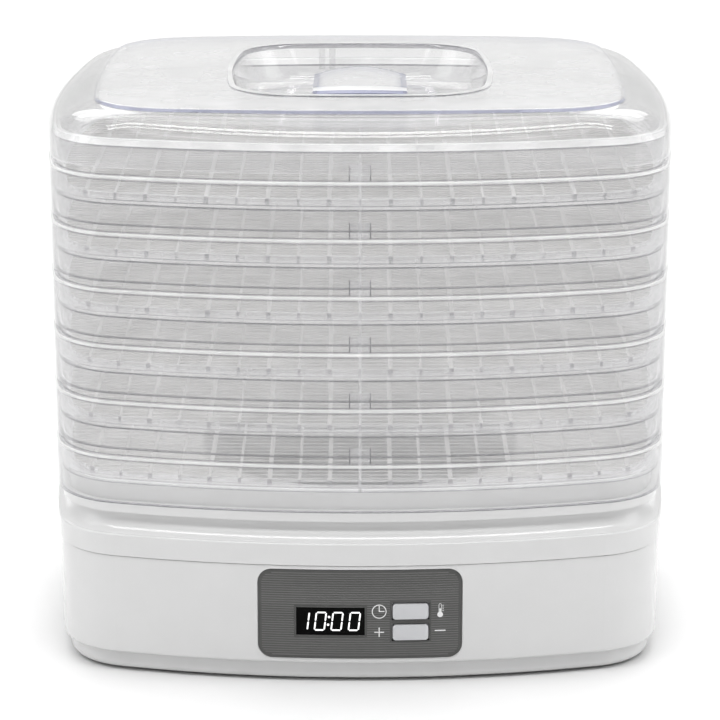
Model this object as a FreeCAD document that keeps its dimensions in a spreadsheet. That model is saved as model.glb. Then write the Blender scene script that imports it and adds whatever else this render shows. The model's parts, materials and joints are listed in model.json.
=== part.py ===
import FreeCAD, Part
import Sketcher
import math
import os
import re
from FreeCAD import Vector

# Food dehydrator: a powered base, a stack of six clear trays and a clear lid.
# Millimetres. Origin at the centre of the footprint on the surface it stands on.
# +Z is up and the control panel faces -Y.

DIMENSIONS = {
    # Plan outline: a rectangle with bowed sides and rounded corners.
    "half_width": 157.0, "half_depth": 131.0,
    "front_radius": 454.0, "side_radius": 548.0, "corner_radius": 41.0,
    # Plinth and floor.
    "foot_height": 1.2, "foot_radius": 8.0, "foot_stem_radius": 2.9, "foot_stem_top": 5.0,
    "foot_hole_radius": 3.0, "foot_x": 115.0, "foot_y": 78.0,
    "plinth_inset": 4.9, "plinth_inner_inset": 7.1, "plinth_rounding": 3.6,
    "plinth_foot_inset": 8.5, "plinth_round_top": 4.8, "plinth_inner_level": 6.0, "floor_inset": 8.0,
    "floor_top": 3.7, "collar_top": 24.0, "notch_back": 112.0,
    "panel_notch_width": 110.0, "panel_notch_height": 25.6,
    "cord_notch_width": 32.0, "cord_notch_height": 16.0,
    "intake_length": 84.0, "intake_width": 3.4, "intake_pitch": 7.0,
    "intake_count": 11, "intake_first": -35.0,
    "floor_screw_hole": 1.75, "screw_column_x": 118.0, "screw_column_y": 48.0,
    # Main housing wall.
    "housing_bottom": 10.7, "housing_bottom_inset": 1.4, "housing_top_inset": 0.8,
    "housing_inner_inset": 4.2, "housing_rounding": 1.6, "seam_level": 61.4,
    "housing_foot_inset": 3.0, "housing_round_top": 12.3,
    # Control panel recess and opening in the front wall.
    "panel_width": 100.0, "panel_height": 45.6, "panel_middle": 36.6, "panel_rounding": 7.0,
    "panel_ledge_width": 100.6, "panel_ledge_height": 46.2, "panel_ledge_bottom": 13.5,
    "panel_bottom": 13.8, "panel_ledge_rounding": 7.3, "panel_start": 133.0, "panel_reach": 12.0,
    "outside_inset": -1.0, "panel_face_inset": 0.9, "panel_back_inset": 2.7,
    "panel_opening_width": 92.0, "panel_opening_height": 38.0,
    # Upper cover: shoulder, cove, lip, upstand and deck.
    "cover_bottom": 61.8, "cover_bottom_inset": 0.3, "shoulder_level": 72.0, "shoulder_inset": 0.0,
    "shoulder_top": 73.2, "shoulder_top_inset": 1.2, "cove_top": 82.8, "cove_top_inset": 6.0,
    "cove_radius": 11.0, "shoulder_radius": 1.2, "lip_bottom": 83.6, "lip_inset": 2.6, "lip_top": 89.0,
    "lip_round_level": 88.2, "lip_round_inset": 3.4, "lip_radius": 0.8,
    "upstand_inset": 5.4, "upstand_inner_inset": 8.4,
    "deck_inset": 7.0, "deck_bottom": 84.0, "deck_top": 87.0, "cover_neck_level": 80.0,
    "cover_shelf": 74.0,
    "collar_outer_inset": 4.7, "collar_inner_inset": 6.9, "collar_bottom": 56.0,
    "outlet_radius": 76.0, "column_radius": 4.2, "pilot_radius": 1.3,
    # Air outlet grille.
    "grille_radius": 82.0, "grille_rim": 4.0, "grille_height": 3.0, "grille_ring_width": 2.0,
    "grille_ring_pitch": 9.0, "grille_ring_count": 8, "grille_spoke_width": 3.0,
    # Heater duct, heater and fan.
    "duct_outer_radius": 79.0, "duct_inner_radius": 77.6, "duct_bottom": 41.0,
    "duct_flange_radius": 84.0,
    "duct_flange_thickness": 1.5, "mica_length": 152.0, "mica_thickness": 1.0, "mica_bottom": 64.0,
    "mica_height": 14.0, "coil_level": 71.0, "coil_tube_radius": 2.2, "coil_first": 22.0,
    "coil_pitch": 16.0, "coil_count": 4, "coil_clearance": 0.2, "hub_radius": 14.0,
    "hub_bottom": 43.5, "hub_top": 58.0,
    "hub_bore_radius": 2.02, "blade_length": 52.0, "blade_start": 10.0, "blade_chord": 26.0,
    "blade_thickness": 1.8, "blade_pitch_angle": 28.0, "blade_middle": 50.6, "blade_count": 5,
    "shaft_radius": 2.0, "shaft_bottom": 11.0, "shaft_top": 61.0, "clip_radius": 5.0,
    "clip_thickness": 0.9,
    "bracket_length": 104.0, "bracket_width": 24.0, "bracket_thickness": 1.5, "bracket_top": 39.9,
    "motor_length": 58.0, "motor_width": 44.0, "motor_bottom": 15.0, "motor_height": 17.0,
    "motor_cap_radius": 17.0, "motor_cap_bottom": 10.0, "motor_bore_radius": 2.05,
    "bracket_hole_radius": 6.0, "bracket_tab": 12.0, "motor_screw_x": 23.0,
    # Control panel details.
    "window_width": 33.5, "window_height": 14.2, "window_x": -14.5, "window_z": 33.0,
    "window_hole_width": 33.7, "window_hole_height": 14.4, "window_face_inset": 1.1,
    "window_bottom": 25.9, "panel_through": 8.0,
    "button_width": 17.4, "button_height": 7.9, "button_x": 24.8, "mode_button_z": 38.1,
    "adjust_button_z": 27.3, "button_hole_width": 18.5, "button_hole_height": 9.0,
    "button_face_inset": 0.1, "button_rounding": 1.6,
    "button_back_inset": 4.5, "flange_front_inset": 3.4, "flange_width": 19.4, "flange_height": 9.2,
    "pivot_y": -122.3, "pin_radius": 1.2, "pin_hole_radius": 1.25, "stem_width": 4.0,
    "stem_length": 4.4, "stem_height": 7.0, "pin_length": 9.7,
    "carrier_front": -123.8, "carrier_depth": 4.8, "carrier_width": 91.0, "carrier_height": 37.0,
    "carrier_wall": 2.6, "lug_width": 4.6, "lug_depth": 3.4, "carrier_corner": 7.0,
    "middle_lug": 31.1, "middle_lug_height": 3.2, "upper_lug": 41.8, "lower_lug": 23.6,
    "pivot_hole_bottom": 22.2, "pivot_hole_length": 21.0, "post_radius": 2.8, "post_high": 51.6,
    "post_low": 21.6, "post_length": 3.6, "pilot_depth": 2.6,
    "board_front": -119.0, "board_thickness": 1.6, "board_width": 91.0, "board_height": 37.0,
    "module_width": 32.0, "module_height": 12.4, "module_front": -126.2,
    "switch_size": 5.6, "switch_depth": 3.4, "plunger_radius": 1.5, "plunger_reach": 2.0,
    "switch_spacing": 12.4, "panel_screw_x": 42.0,
    "small_screw_radius": 1.2, "small_screw_hole": 1.25, "small_head_radius": 2.4,
    "small_head_height": 1.4, "small_screw_length": 7.4,
    # Power supply, sensors and cord entry.
    "power_board_x": -115.0, "power_board_y": 70.0, "power_board_length": 92.0,
    "power_board_width": 36.0, "power_board_bottom": 10.0, "standoff_radius": 3.0,
    "board_hole_left": -110.0, "board_hole_right": -28.0, "board_hole_near": 74.5,
    "board_hole_far": 101.5, "component_margin": 9.0, "transformer_size": 24.0,
    "transformer_height": 20.0, "transformer_offset": 8.0, "relay_length": 19.0,
    "relay_width": 15.0, "relay_height": 15.0, "relay_offset": 38.0, "capacitor_radius": 6.0,
    "capacitor_height": 14.0, "capacitor_offset": 66.0, "terminal_length": 9.0,
    "terminal_width": 20.0, "terminal_height": 10.0, "terminal_offset": 76.0,
    "thermostat_radius": 8.0, "thermostat_height": 9.0,
    "thermostat_x": 96.0, "thermostat_y": 20.0, "fuse_radius": 1.8, "fuse_length": 14.0,
    "fuse_x": 96.0, "fuse_y": 30.0, "sensor_radius": 1.7, "sensor_height": 12.0,
    "sensor_x": 26.0, "sensor_y": 88.0,
    "gland_z": 32.0, "gland_bore_radius": 3.6, "gland_flange_radius": 10.0, "gland_face": 129.6,
    "gland_seat": 127.0, "gland_barrel_radius": 6.6, "gland_hole_radius": 6.65, "gland_end": 113.0,
    "gland_boss_radius": 14.0, "gland_boss_end": 122.0, "gland_recess_radius": 10.6,
    "clamp_length": 26.0, "clamp_width": 8.0, "clamp_height": 6.0, "clamp_y": 96.0,
    "ribbon_x": -36.0, "ribbon_width": 11.0, "ribbon_thickness": 0.8, "ribbon_front": -117.2,
    "ribbon_start": 26.0, "ribbon_low": 5.2, "ribbon_end": 68.6, "ribbon_rise": 12.4,
    "ribbon_bend": 5.0,
    # Base screws.
    "screw_radius": 1.25, "screw_head_radius": 3.2, "screw_head_height": 0.9,
    "screw_length": 16.0,
    # Trays, measured from the underside of each tray's floor.
    "tray_first": 99.0, "tray_pitch": 27.92, "tray_inner_inset": 2.1,
    "skirt_bottom": -10.4, "skirt_chamfer_inset": 0.5, "skirt_chamfer_top": -9.8,
    "ledge_bottom": 11.6, "ledge_round_level": 12.6, "ledge_top": 13.5, "ledge_round_inset": 0.9,
    "ledge_radius": 0.9,
    "neck_inset": 3.3, "neck_inner_inset": 5.3, "neck_top": 27.92, "zero": 0.0,
    "flange_top": 1.7, "flange_inset": 9.0,
    "grid_inset": 5.7, "grid_middle_inset": 7.1, "grid_frame_inset": 8.6, "grid_top": 4.3,
    "grid_split": 3.0,
    "grid_rib_width": 2.0, "grid_rib_pitch": 29.4, "grid_slat_width": 2.4, "grid_slat_pitch": 12.0,
    "grid_rib_count": 10, "grid_slat_count": 21,
    # Lid.
    "lid_level": 266.52, "lid_skirt_bottom": 256.1, "lid_skirt_chamfer": 256.7,
    "lid_wall_top": 264.0, "flank_radius": 20.2, "flank_top_inset": 19.0, "lid_top": 284.2,
    "flank_inner_radius": 18.1, "flank_inner_top": 282.0, "top_plate_inset": 18.0,
    "rim_outer_inset": 1.7, "rim_inset": 6.0, "rim_top": 270.0,
    "bowl_half_width": 66.0, "bowl_half_depth": 80.0, "bowl_corner": 34.0, "bowl_gap": 0.3,
    "bowl_rim_width": 3.2, "bowl_rim_height": 1.0, "bowl_bottom": 263.2, "bowl_wall": 2.2,
    "well_shrink": -2.2,
    "grip_width": 47.0, "grip_length": 73.0, "grip_top": 281.2,
    "grip_inner_width": 42.8, "grip_inner_length": 68.8,
}

TRAY_COUNT = 6

doc = FreeCAD.newDocument("food_dehydrator")
sheet = doc.addObject("Spreadsheet::Sheet", "dims")
for row, (alias, value) in enumerate(DIMENSIONS.items(), 1):
    sheet.set(f"A{row}", alias)
    sheet.set(f"B{row}", str(value))
    sheet.setAlias(f"B{row}", alias)
doc.recompute()

parts = []


def size(alias):
    """The number in a cell of the sheet."""
    return float(getattr(sheet, alias))


def cells(expression):
    """An expression in cell names, with each name pointed at the sheet."""
    return re.sub(r"[a-z][a-z_]*", r"dims.\g<0>", expression)


def bind(thing, **expressions):
    """Ties properties to expressions: bind(box, Length='panel_width')."""
    for name, expression in expressions.items():
        thing.setExpression(name.replace("__", "."), cells(expression))


def place(thing, x="zero", y="zero", z="zero"):
    """Ties a placement's position to expressions in cell names."""
    thing.setExpression("Placement.Base.x", cells(x))
    thing.setExpression("Placement.Base.y", cells(y))
    thing.setExpression("Placement.Base.z", cells(z))


def part(thing, label):
    """Registers a finished sub-part under its own name."""
    thing.Label = label
    parts.append(thing)
    return thing


# ---------------------------------------------------------------- sketches


def origin_plane(body, role):
    return next(f for f in body.Origin.OriginFeatures if f.Role == role)


def new_sketch(body, name, role, level="zero"):
    """A sketch on one of the body's origin planes, raised by a cell's value."""
    sketch = body.newObject("Sketcher::SketchObject", name)
    sketch.AttachmentSupport = [(origin_plane(body, role), "")]
    sketch.MapMode = "FlatFace"
    sketch.setExpression("AttachmentOffset.Base.z", cells(level))
    return sketch


def driven(sketch, kind, *arguments, by):
    """A dimension whose value comes from an expression in cell names."""
    index = sketch.addConstraint(Sketcher.Constraint(kind, *arguments))
    name = f"size_{index}"
    sketch.renameConstraint(index, name)
    sketch.setExpression(f"Constraints.{name}", cells(by))


def locate(sketch, axis, index, point, value, by):
    """Holds a sketch point at a signed distance from the origin along one axis."""
    if abs(value) < 1e-9:
        line = -2 if axis == "X" else -1
        sketch.addConstraint(Sketcher.Constraint("PointOnObject", index, point, line))
    elif value > 0:
        driven(sketch, f"Distance{axis}", -1, 1, index, point, value, by=by)
    else:
        driven(sketch, f"Distance{axis}", index, point, -1, 1, -value, by=f"-({by})")


def arc(x, y, radius, start, end):
    circle = Part.Circle(Vector(x, y, 0), Vector(0, 0, 1), radius)
    return Part.ArcOfCircle(circle, start, end)


def corner_centre(width, depth, front, side, corner):
    """Centre of the corner arc that is tangent inside the back and side arcs."""
    back_y = depth - front
    side_x = width - side
    to_back = front - corner
    to_side = side - corner
    distance = math.hypot(side_x, back_y)
    along = (to_back**2 - to_side**2 + distance**2) / (2 * distance)
    across = math.sqrt(to_back**2 - along**2)
    unit = (side_x / distance, -back_y / distance)
    x = along * unit[0] + across * unit[1]
    y = back_y + along * unit[1] - across * unit[0]
    return x, y


def add_outline(sketch, inset="zero"):
    """Adds the plan outline, moved inwards by a cell's value, fully constrained.

    Nine arcs: half of the right side, then corner and side in turn, back to the start.
    """
    inward = size(inset)
    width = size("half_width") - inward
    depth = size("half_depth") - inward
    front = size("front_radius") - inward
    side = size("side_radius") - inward
    corner = size("corner_radius") - inward
    x, y = corner_centre(width, depth, front, side, corner)
    low = math.atan2(y, x - (width - side))
    high = math.atan2(y + front - depth, x)
    full = 2 * math.pi
    first = sketch.addGeometry([
        arc(width - side, 0, side, 0, low),
        arc(x, y, corner, low, high),
        arc(0, depth - front, front, high, math.pi - high),
        arc(-x, y, corner, math.pi - high, math.pi - low),
        arc(side - width, 0, side, math.pi - low, math.pi + low),
        arc(-x, -y, corner, math.pi + low, math.pi + high),
        arc(0, front - depth, front, math.pi + high, full - high),
        arc(x, -y, corner, full - high, full - low),
        arc(width - side, 0, side, full - low, full),
    ], False)
    right, right_up, back, left_up, left, left_down, ahead, right_down, last = first
    for here, after in zip(first[:-1], first[1:]):
        sketch.addConstraint(Sketcher.Constraint("Tangent", here, 2, after, 1))
    sketch.addConstraint(Sketcher.Constraint("Coincident", last, 2, right, 1))
    sketch.addConstraint(Sketcher.Constraint("Coincident", right, 3, last, 3))
    sketch.addConstraint(Sketcher.Constraint("PointOnObject", right, 3, -1))
    sketch.addConstraint(Sketcher.Constraint("PointOnObject", right, 1, -1))
    sketch.addConstraint(Sketcher.Constraint("Symmetric", right, 3, left, 3, -2))
    sketch.addConstraint(Sketcher.Constraint("PointOnObject", back, 3, -2))
    sketch.addConstraint(Sketcher.Constraint("Symmetric", back, 3, ahead, 3, -1))
    for index in (right, left):
        driven(sketch, "Radius", index, side, by=f"side_radius - {inset}")
    for index in (back, ahead):
        driven(sketch, "Radius", index, front, by=f"front_radius - {inset}")
    for index in (right_up, left_up, left_down, right_down):
        driven(sketch, "Radius", index, corner, by=f"corner_radius - {inset}")
    driven(sketch, "DistanceX", -1, 1, right, 1, width, by=f"half_width - {inset}")
    driven(sketch, "DistanceY", back, 3, -1, 1, front - depth, by="front_radius - half_depth")


def add_rectangle(sketch, width, height, x="zero", y="zero"):
    """Adds a rectangle of cell-driven size about a cell-driven centre."""
    half_w = size(width) / 2
    half_h = size(height) / 2
    mid_x = size(x)
    mid_y = size(y)
    corners = [
        Vector(mid_x - half_w, mid_y - half_h, 0),
        Vector(mid_x + half_w, mid_y - half_h, 0),
        Vector(mid_x + half_w, mid_y + half_h, 0),
        Vector(mid_x - half_w, mid_y + half_h, 0),
    ]
    lines = [Part.LineSegment(a, b) for a, b in zip(corners, corners[1:] + corners[:1])]
    bottom, right, top, left = sketch.addGeometry(lines, False)
    for here, after in ((bottom, right), (right, top), (top, left), (left, bottom)):
        sketch.addConstraint(Sketcher.Constraint("Coincident", here, 2, after, 1))
    for index in (bottom, top):
        sketch.addConstraint(Sketcher.Constraint("Horizontal", index))
    for index in (right, left):
        sketch.addConstraint(Sketcher.Constraint("Vertical", index))
    driven(sketch, "DistanceX", bottom, 1, bottom, 2, 2 * half_w, by=width)
    driven(sketch, "DistanceY", right, 1, right, 2, 2 * half_h, by=height)
    locate(sketch, "X", right, 1, mid_x + half_w, f"{x} + {width} / 2")
    locate(sketch, "Y", right, 2, mid_y + half_h, f"{y} + {height} / 2")


def add_circle(sketch, radius, x="zero", y="zero", signs=(1, 1)):
    """Adds a circle of cell-driven radius; signs mirror its centre."""
    centre = Vector(size(x) * signs[0], size(y) * signs[1], 0)
    index = sketch.addGeometry(Part.Circle(centre, Vector(0, 0, 1), size(radius)), False)
    driven(sketch, "Radius", index, size(radius), by=radius)
    locate(sketch, "X", index, 3, centre.x, f"{signs[0]} * {x}")
    locate(sketch, "Y", index, 3, centre.y, f"{signs[1]} * {y}")


def add_strip(sketch, width, outer, inner, x="zero"):
    """Adds a strip of the front wall, between two insets, centred on x."""
    left = size(x) - size(width) / 2
    right = size(x) + size(width) / 2
    centre_y = size("front_radius") - size("half_depth")
    ends = []
    for inset in (outer, inner):
        radius = size("front_radius") - size(inset)
        for edge in (left, right):
            ends.append(Vector(edge, centre_y - math.sqrt(radius**2 - edge**2), 0))
    outer_left, outer_right, inner_left, inner_right = ends

    def bowed(inset, a, b):
        radius = size("front_radius") - size(inset)
        start = math.atan2(a.y - centre_y, a.x)
        end = math.atan2(b.y - centre_y, b.x)
        return arc(0, centre_y, radius, start, end)

    front, right_side, back, left_side = sketch.addGeometry([
        bowed(outer, outer_left, outer_right),
        Part.LineSegment(outer_right, inner_right),
        bowed(inner, inner_left, inner_right),
        Part.LineSegment(inner_left, outer_left),
    ], False)
    sketch.addConstraint(Sketcher.Constraint("Coincident", front, 2, right_side, 1))
    sketch.addConstraint(Sketcher.Constraint("Coincident", right_side, 2, back, 2))
    sketch.addConstraint(Sketcher.Constraint("Coincident", back, 1, left_side, 1))
    sketch.addConstraint(Sketcher.Constraint("Coincident", left_side, 2, front, 1))
    sketch.addConstraint(Sketcher.Constraint("Vertical", right_side))
    sketch.addConstraint(Sketcher.Constraint("Vertical", left_side))
    sketch.addConstraint(Sketcher.Constraint("PointOnObject", front, 3, -2))
    sketch.addConstraint(Sketcher.Constraint("Coincident", front, 3, back, 3))
    driven(sketch, "DistanceY", -1, 1, front, 3, centre_y, by="front_radius - half_depth")
    driven(sketch, "Radius", front, size("front_radius") - size(outer), by=f"front_radius - {outer}")
    driven(sketch, "Radius", back, size("front_radius") - size(inner), by=f"front_radius - {inner}")
    driven(sketch, "DistanceX", front, 1, front, 2, right - left, by=width)
    locate(sketch, "X", front, 2, right, f"{x} + {width} / 2")


def add_profile(sketch, corners):
    """Adds a closed wall section. Each corner is (inset cell, level cell); a third
    entry names the radius of an arc from that corner to the next, and a fourth says
    on which side of the chord its centre lies (1 is left when walking along it)."""
    points = [Vector(size("half_width") - size(c[0]), size(c[1]), 0) for c in corners]
    geometry = []
    for here, there, corner in zip(points, points[1:] + points[:1], corners):
        if len(corner) == 2:
            geometry.append(Part.LineSegment(here, there))
            continue
        radius = size(corner[2])
        chord = there - here
        height = math.sqrt(radius**2 - (chord.Length / 2) ** 2)
        normal = Vector(-chord.y, chord.x, 0).normalize() * corner[3]
        centre = (here + there) * 0.5 + normal * height
        start = math.atan2(here.y - centre.y, here.x - centre.x)
        end = math.atan2(there.y - centre.y, there.x - centre.x)
        if corner[3] > 0:
            geometry.append(arc(centre.x, centre.y, radius, start, end))
        else:
            geometry.append(arc(centre.x, centre.y, radius, end, start))
    indices = sketch.addGeometry(geometry, False)

    def ends(position):
        backwards = len(corners[position]) > 2 and corners[position][3] < 0
        return (2, 1) if backwards else (1, 2)

    count = len(corners)
    for position in range(count):
        after = (position + 1) % count
        joint = Sketcher.Constraint(
            "Coincident", indices[position], ends(position)[1], indices[after], ends(after)[0])
        sketch.addConstraint(joint)
    for position, corner in enumerate(corners):
        index = indices[position]
        start = ends(position)[0]
        point = points[position]
        locate(sketch, "X", index, start, point.x, f"half_width - {corner[0]}")
        locate(sketch, "Y", index, start, point.y, corner[1])
        if len(corner) > 2:
            driven(sketch, "Radius", index, size(corner[2]), by=corner[2])


# ---------------------------------------------------------------- features


def new_body(label):
    return part(doc.addObject("PartDesign::Body", label), label)


def pad(body, sketch, height, name, reverse=False):
    feature = body.newObject("PartDesign::Pad", name)
    feature.Profile = sketch
    feature.setExpression("Length", cells(height))
    feature.Reversed = reverse
    doc.recompute()
    return feature


def pocket(body, sketch, depth, name, reverse=False):
    """Cuts a sketch into the body and makes sure that something was cut."""
    before = body.Shape.Volume
    feature = body.newObject("PartDesign::Pocket", name)
    feature.Profile = sketch
    feature.setExpression("Length", cells(depth))
    feature.Reversed = reverse
    doc.recompute()
    if feature.Shape.Volume > before - 1e-3:
        raise RuntimeError(f"{body.Label}: {name} cuts nothing")
    return feature


def outline_pad(body, name, inset, level, height):
    sketch = new_sketch(body, f"{name}_outline", "XY_Plane", level)
    add_outline(sketch, inset)
    return pad(body, sketch, height, name)


def swept_wall(body, name, corners):
    """Carries a wall section round the plan outline."""
    spine = new_sketch(body, f"{name}_path", "XY_Plane")
    add_outline(spine)
    section = new_sketch(body, f"{name}_section", "XZ_Plane")
    add_profile(section, corners)
    doc.recompute()
    feature = body.newObject("PartDesign::AdditivePipe", name)
    feature.Profile = section
    feature.Spine = (spine, [])
    doc.recompute()
    return feature


def corner_edges(shape, width, x="zero"):
    """Names of the short edges that run in depth at the four corners of a strip."""
    names = []
    for index, edge in enumerate(shape.Edges, 1):
        box = edge.BoundBox
        reach = abs((box.XMin + box.XMax) / 2 - size(x))
        straight = box.XLength < 1e-3 and box.ZLength < 1e-3 and box.YMax < 0
        if straight and abs(reach - size(width) / 2) < 1e-3:
            names.append(f"Edge{index}")
    return names


def fillet(body, edges, radius, name):
    base = body.Tip
    feature = body.newObject("PartDesign::Fillet", name)
    feature.Base = (base, edges)
    feature.setExpression("Radius", cells(radius))
    doc.recompute()
    return feature


def box(name, length, width, height, x, y, z):
    """A block whose lowest corner is at x, y, z."""
    thing = doc.addObject("Part::Box", name)
    bind(thing, Length=length, Width=width, Height=height)
    place(thing, x, y, z)
    return thing


def cylinder(name, radius, height, x="zero", y="zero", z="zero", along=None):
    """A cylinder that starts at x, y, z and runs up, or along the given direction."""
    thing = doc.addObject("Part::Cylinder", name)
    bind(thing, Radius=radius, Height=height)
    if along is not None:
        turn = FreeCAD.Rotation(Vector(0, 0, 1), along)
        thing.Placement = FreeCAD.Placement(Vector(), turn)
    place(thing, x, y, z)
    return thing


def fuse(name, things):
    thing = doc.addObject("Part::MultiFuse", name)
    thing.Shapes = things
    return thing


def cut(name, base, tool):
    thing = doc.addObject("Part::Cut", name)
    thing.Base = base
    thing.Tool = tool
    return thing


def group(name, things):
    """Several separate solids that share one node."""
    thing = doc.addObject("Part::Compound", name)
    thing.Links = things
    return thing


# ---------------------------------------------------------------- base shells

FOUR_CORNERS = [(1, 1), (-1, 1), (-1, -1), (1, -1)]


def signed(sign, expression):
    return expression if sign > 0 else f"-({expression})"


def column_sites():
    """Where the six screws come up through the floor."""
    sites = [(sx, "screw_column_x", sy, "screw_column_y") for sx, sy in FOUR_CORNERS]
    return sites + [(1, "screw_column_x", 1, "zero"), (-1, "screw_column_x", 1, "zero")]


def make_bottom_plate():
    """Inset plinth with a rounded edge, a collar inside the housing, and air slots."""
    body = new_body("bottom_plate")
    outline_pad(body, "floor", "floor_inset", "foot_height", "floor_top - foot_height")
    swept_wall(body, "plinth_wall", [
        ("plinth_foot_inset", "foot_height", "plinth_rounding", 1),
        ("plinth_inset", "plinth_round_top"),
        ("plinth_inset", "collar_top"),
        ("plinth_inner_inset", "collar_top"),
        ("plinth_inner_inset", "plinth_inner_level"),
        ("plinth_foot_inset", "floor_top"),
    ])

    for name, level, front in (("panel_notch", "notch_back", True), ("cord_notch", "-notch_back", False)):
        opening = new_sketch(body, f"{name}_outline", "XZ_Plane", level)
        add_rectangle(opening, f"{name}_width", f"{name}_height", "zero", "collar_top")
        pocket(body, opening, "half_depth - notch_back", name, reverse=front)

    posts = new_sketch(body, "standoff_circles", "XY_Plane", "floor_top")
    for x, y in board_holes():
        add_circle(posts, "standoff_radius", x, y)
    pad(body, posts, "power_board_bottom - floor_top", "standoffs")

    slot = new_sketch(body, "intake_slot", "XY_Plane", "foot_height")
    add_rectangle(slot, "intake_width", "intake_length", "intake_first")
    cutter = pocket(body, slot, "floor_top - foot_height", "intake", reverse=True)
    before = body.Shape.Volume
    pattern = body.newObject("PartDesign::LinearPattern", "intake_slots")
    pattern.Originals = [cutter]
    pattern.Direction = (slot, ["H_Axis"])
    pattern.setExpression("Length", cells("intake_pitch * (intake_count - 1)"))
    pattern.setExpression("Occurrences", cells("intake_count"))
    body.Tip = pattern
    doc.recompute()
    if pattern.Shape.Volume > before - 1:
        raise RuntimeError("the intake slots did not repeat")

    holes = new_sketch(body, "floor_holes", "XY_Plane", "foot_height")
    for sx, x, sy, y in column_sites():
        add_circle(holes, "floor_screw_hole", x, y, (sx, sy))
    for sx, sy in FOUR_CORNERS:
        add_circle(holes, "foot_hole_radius", "foot_x", "foot_y", (sx, sy))
    pocket(body, holes, "floor_top - foot_height", "fixing_holes", reverse=True)


def make_main_housing():
    """Bowed wall of the base, with a recess for the panel and the cord entry."""
    body = new_body("main_housing")
    swept_wall(body, "wall", [
        ("housing_foot_inset", "housing_bottom", "housing_rounding", 1),
        ("housing_bottom_inset", "housing_round_top"),
        ("housing_top_inset", "seam_level"),
        ("housing_inner_inset", "seam_level"),
        ("housing_inner_inset", "housing_bottom"),
    ])

    boss = new_sketch(body, "gland_boss_circle", "XZ_Plane", "-gland_boss_end")
    add_circle(boss, "gland_boss_radius", "zero", "gland_z")
    pad(body, boss, "gland_seat - gland_boss_end", "gland_boss", reverse=True)
    recess = new_sketch(body, "gland_recess_circle", "XZ_Plane", "-gland_seat")
    add_circle(recess, "gland_recess_radius", "zero", "gland_z")
    pocket(body, recess, "half_depth - gland_seat", "gland_recess")
    hole = new_sketch(body, "gland_hole_circle", "XZ_Plane", "-gland_boss_end")
    add_circle(hole, "gland_hole_radius", "zero", "gland_z")
    pocket(body, hole, "gland_seat - gland_boss_end", "gland_hole")

    opening = new_sketch(body, "panel_opening", "XZ_Plane", "panel_start")
    add_rectangle(opening, "panel_opening_width", "panel_opening_height", "zero", "panel_middle")
    pocket(body, opening, "panel_reach", "panel_hole")
    ledge = new_sketch(body, "panel_ledge_strip", "XY_Plane", "panel_ledge_bottom")
    add_strip(ledge, "panel_ledge_width", "outside_inset", "panel_back_inset")
    pocket(body, ledge, "panel_ledge_height", "panel_ledge", reverse=True)
    fillet(body, corner_edges(body.Tip.Shape, "panel_ledge_width"), "panel_ledge_rounding",
           "panel_ledge_corners")


def make_upper_cover():
    """Shoulder, cove, lip and upstand in one section, with the deck and its columns."""
    body = new_body("upper_cover")
    swept_wall(body, "cover_wall", [
        ("cover_bottom_inset", "cover_bottom"),
        ("shoulder_inset", "shoulder_level", "shoulder_radius", 1),
        ("shoulder_top_inset", "shoulder_top", "cove_radius", -1),
        ("cove_top_inset", "cove_top"),
        ("cove_top_inset", "lip_bottom"),
        ("lip_inset", "lip_bottom"),
        ("lip_inset", "lip_round_level", "lip_radius", 1),
        ("lip_round_inset", "lip_top"),
        ("upstand_inset", "lip_top"),
        ("upstand_inset", "tray_first"),
        ("upstand_inner_inset", "tray_first"),
        ("upstand_inner_inset", "cover_neck_level"),
        ("collar_inner_inset", "cover_shelf"),
        ("collar_inner_inset", "collar_bottom"),
        ("collar_outer_inset", "collar_bottom"),
        ("collar_outer_inset", "cover_bottom"),
    ])
    outline_pad(body, "deck", "deck_inset", "deck_bottom", "deck_top - deck_bottom")
    outlet = new_sketch(body, "outlet_circle", "XY_Plane", "deck_bottom")
    add_circle(outlet, "outlet_radius")
    pocket(body, outlet, "deck_top - deck_bottom", "outlet", reverse=True)
    columns = new_sketch(body, "column_circles", "XY_Plane", "floor_top")
    for sx, x, sy, y in column_sites():
        add_circle(columns, "column_radius", x, y, (sx, sy))
        add_circle(columns, "pilot_radius", x, y, (sx, sy))
    pad(body, columns, "deck_bottom - floor_top", "columns")


def make_feet():
    """Four rubber feet, each a disc with a stem through the floor."""
    feet = []
    for number, (sx, sy) in enumerate(FOUR_CORNERS, 1):
        x = signed(sx, "foot_x")
        y = signed(sy, "foot_y")
        disc = cylinder(f"foot_disc_{number}", "foot_radius", "foot_height", x, y)
        stem = cylinder(f"foot_stem_{number}", "foot_stem_radius", "foot_stem_top", x, y)
        feet.append(fuse(f"foot_{number}", [disc, stem]))
    part(group("foot_set", feet), "rubber_feet")


def make_base_screws():
    """Six screws from below: a low head under the floor and a shank in each column."""
    screws = []
    for number, (sx, x, sy, y) in enumerate(column_sites(), 1):
        across = signed(sx, x)
        deep = signed(sy, y)
        head = cylinder(f"base_screw_head_{number}", "screw_head_radius", "screw_head_height",
                        across, deep, "foot_height - screw_head_height")
        shank = cylinder(f"base_screw_shank_{number}", "screw_radius", "screw_length",
                         across, deep, "foot_height")
        screws.append(fuse(f"base_screw_{number}", [head, shank]))
    part(group("base_screw_set", screws), "base_screws")


# ---------------------------------------------------------------- air path


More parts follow.
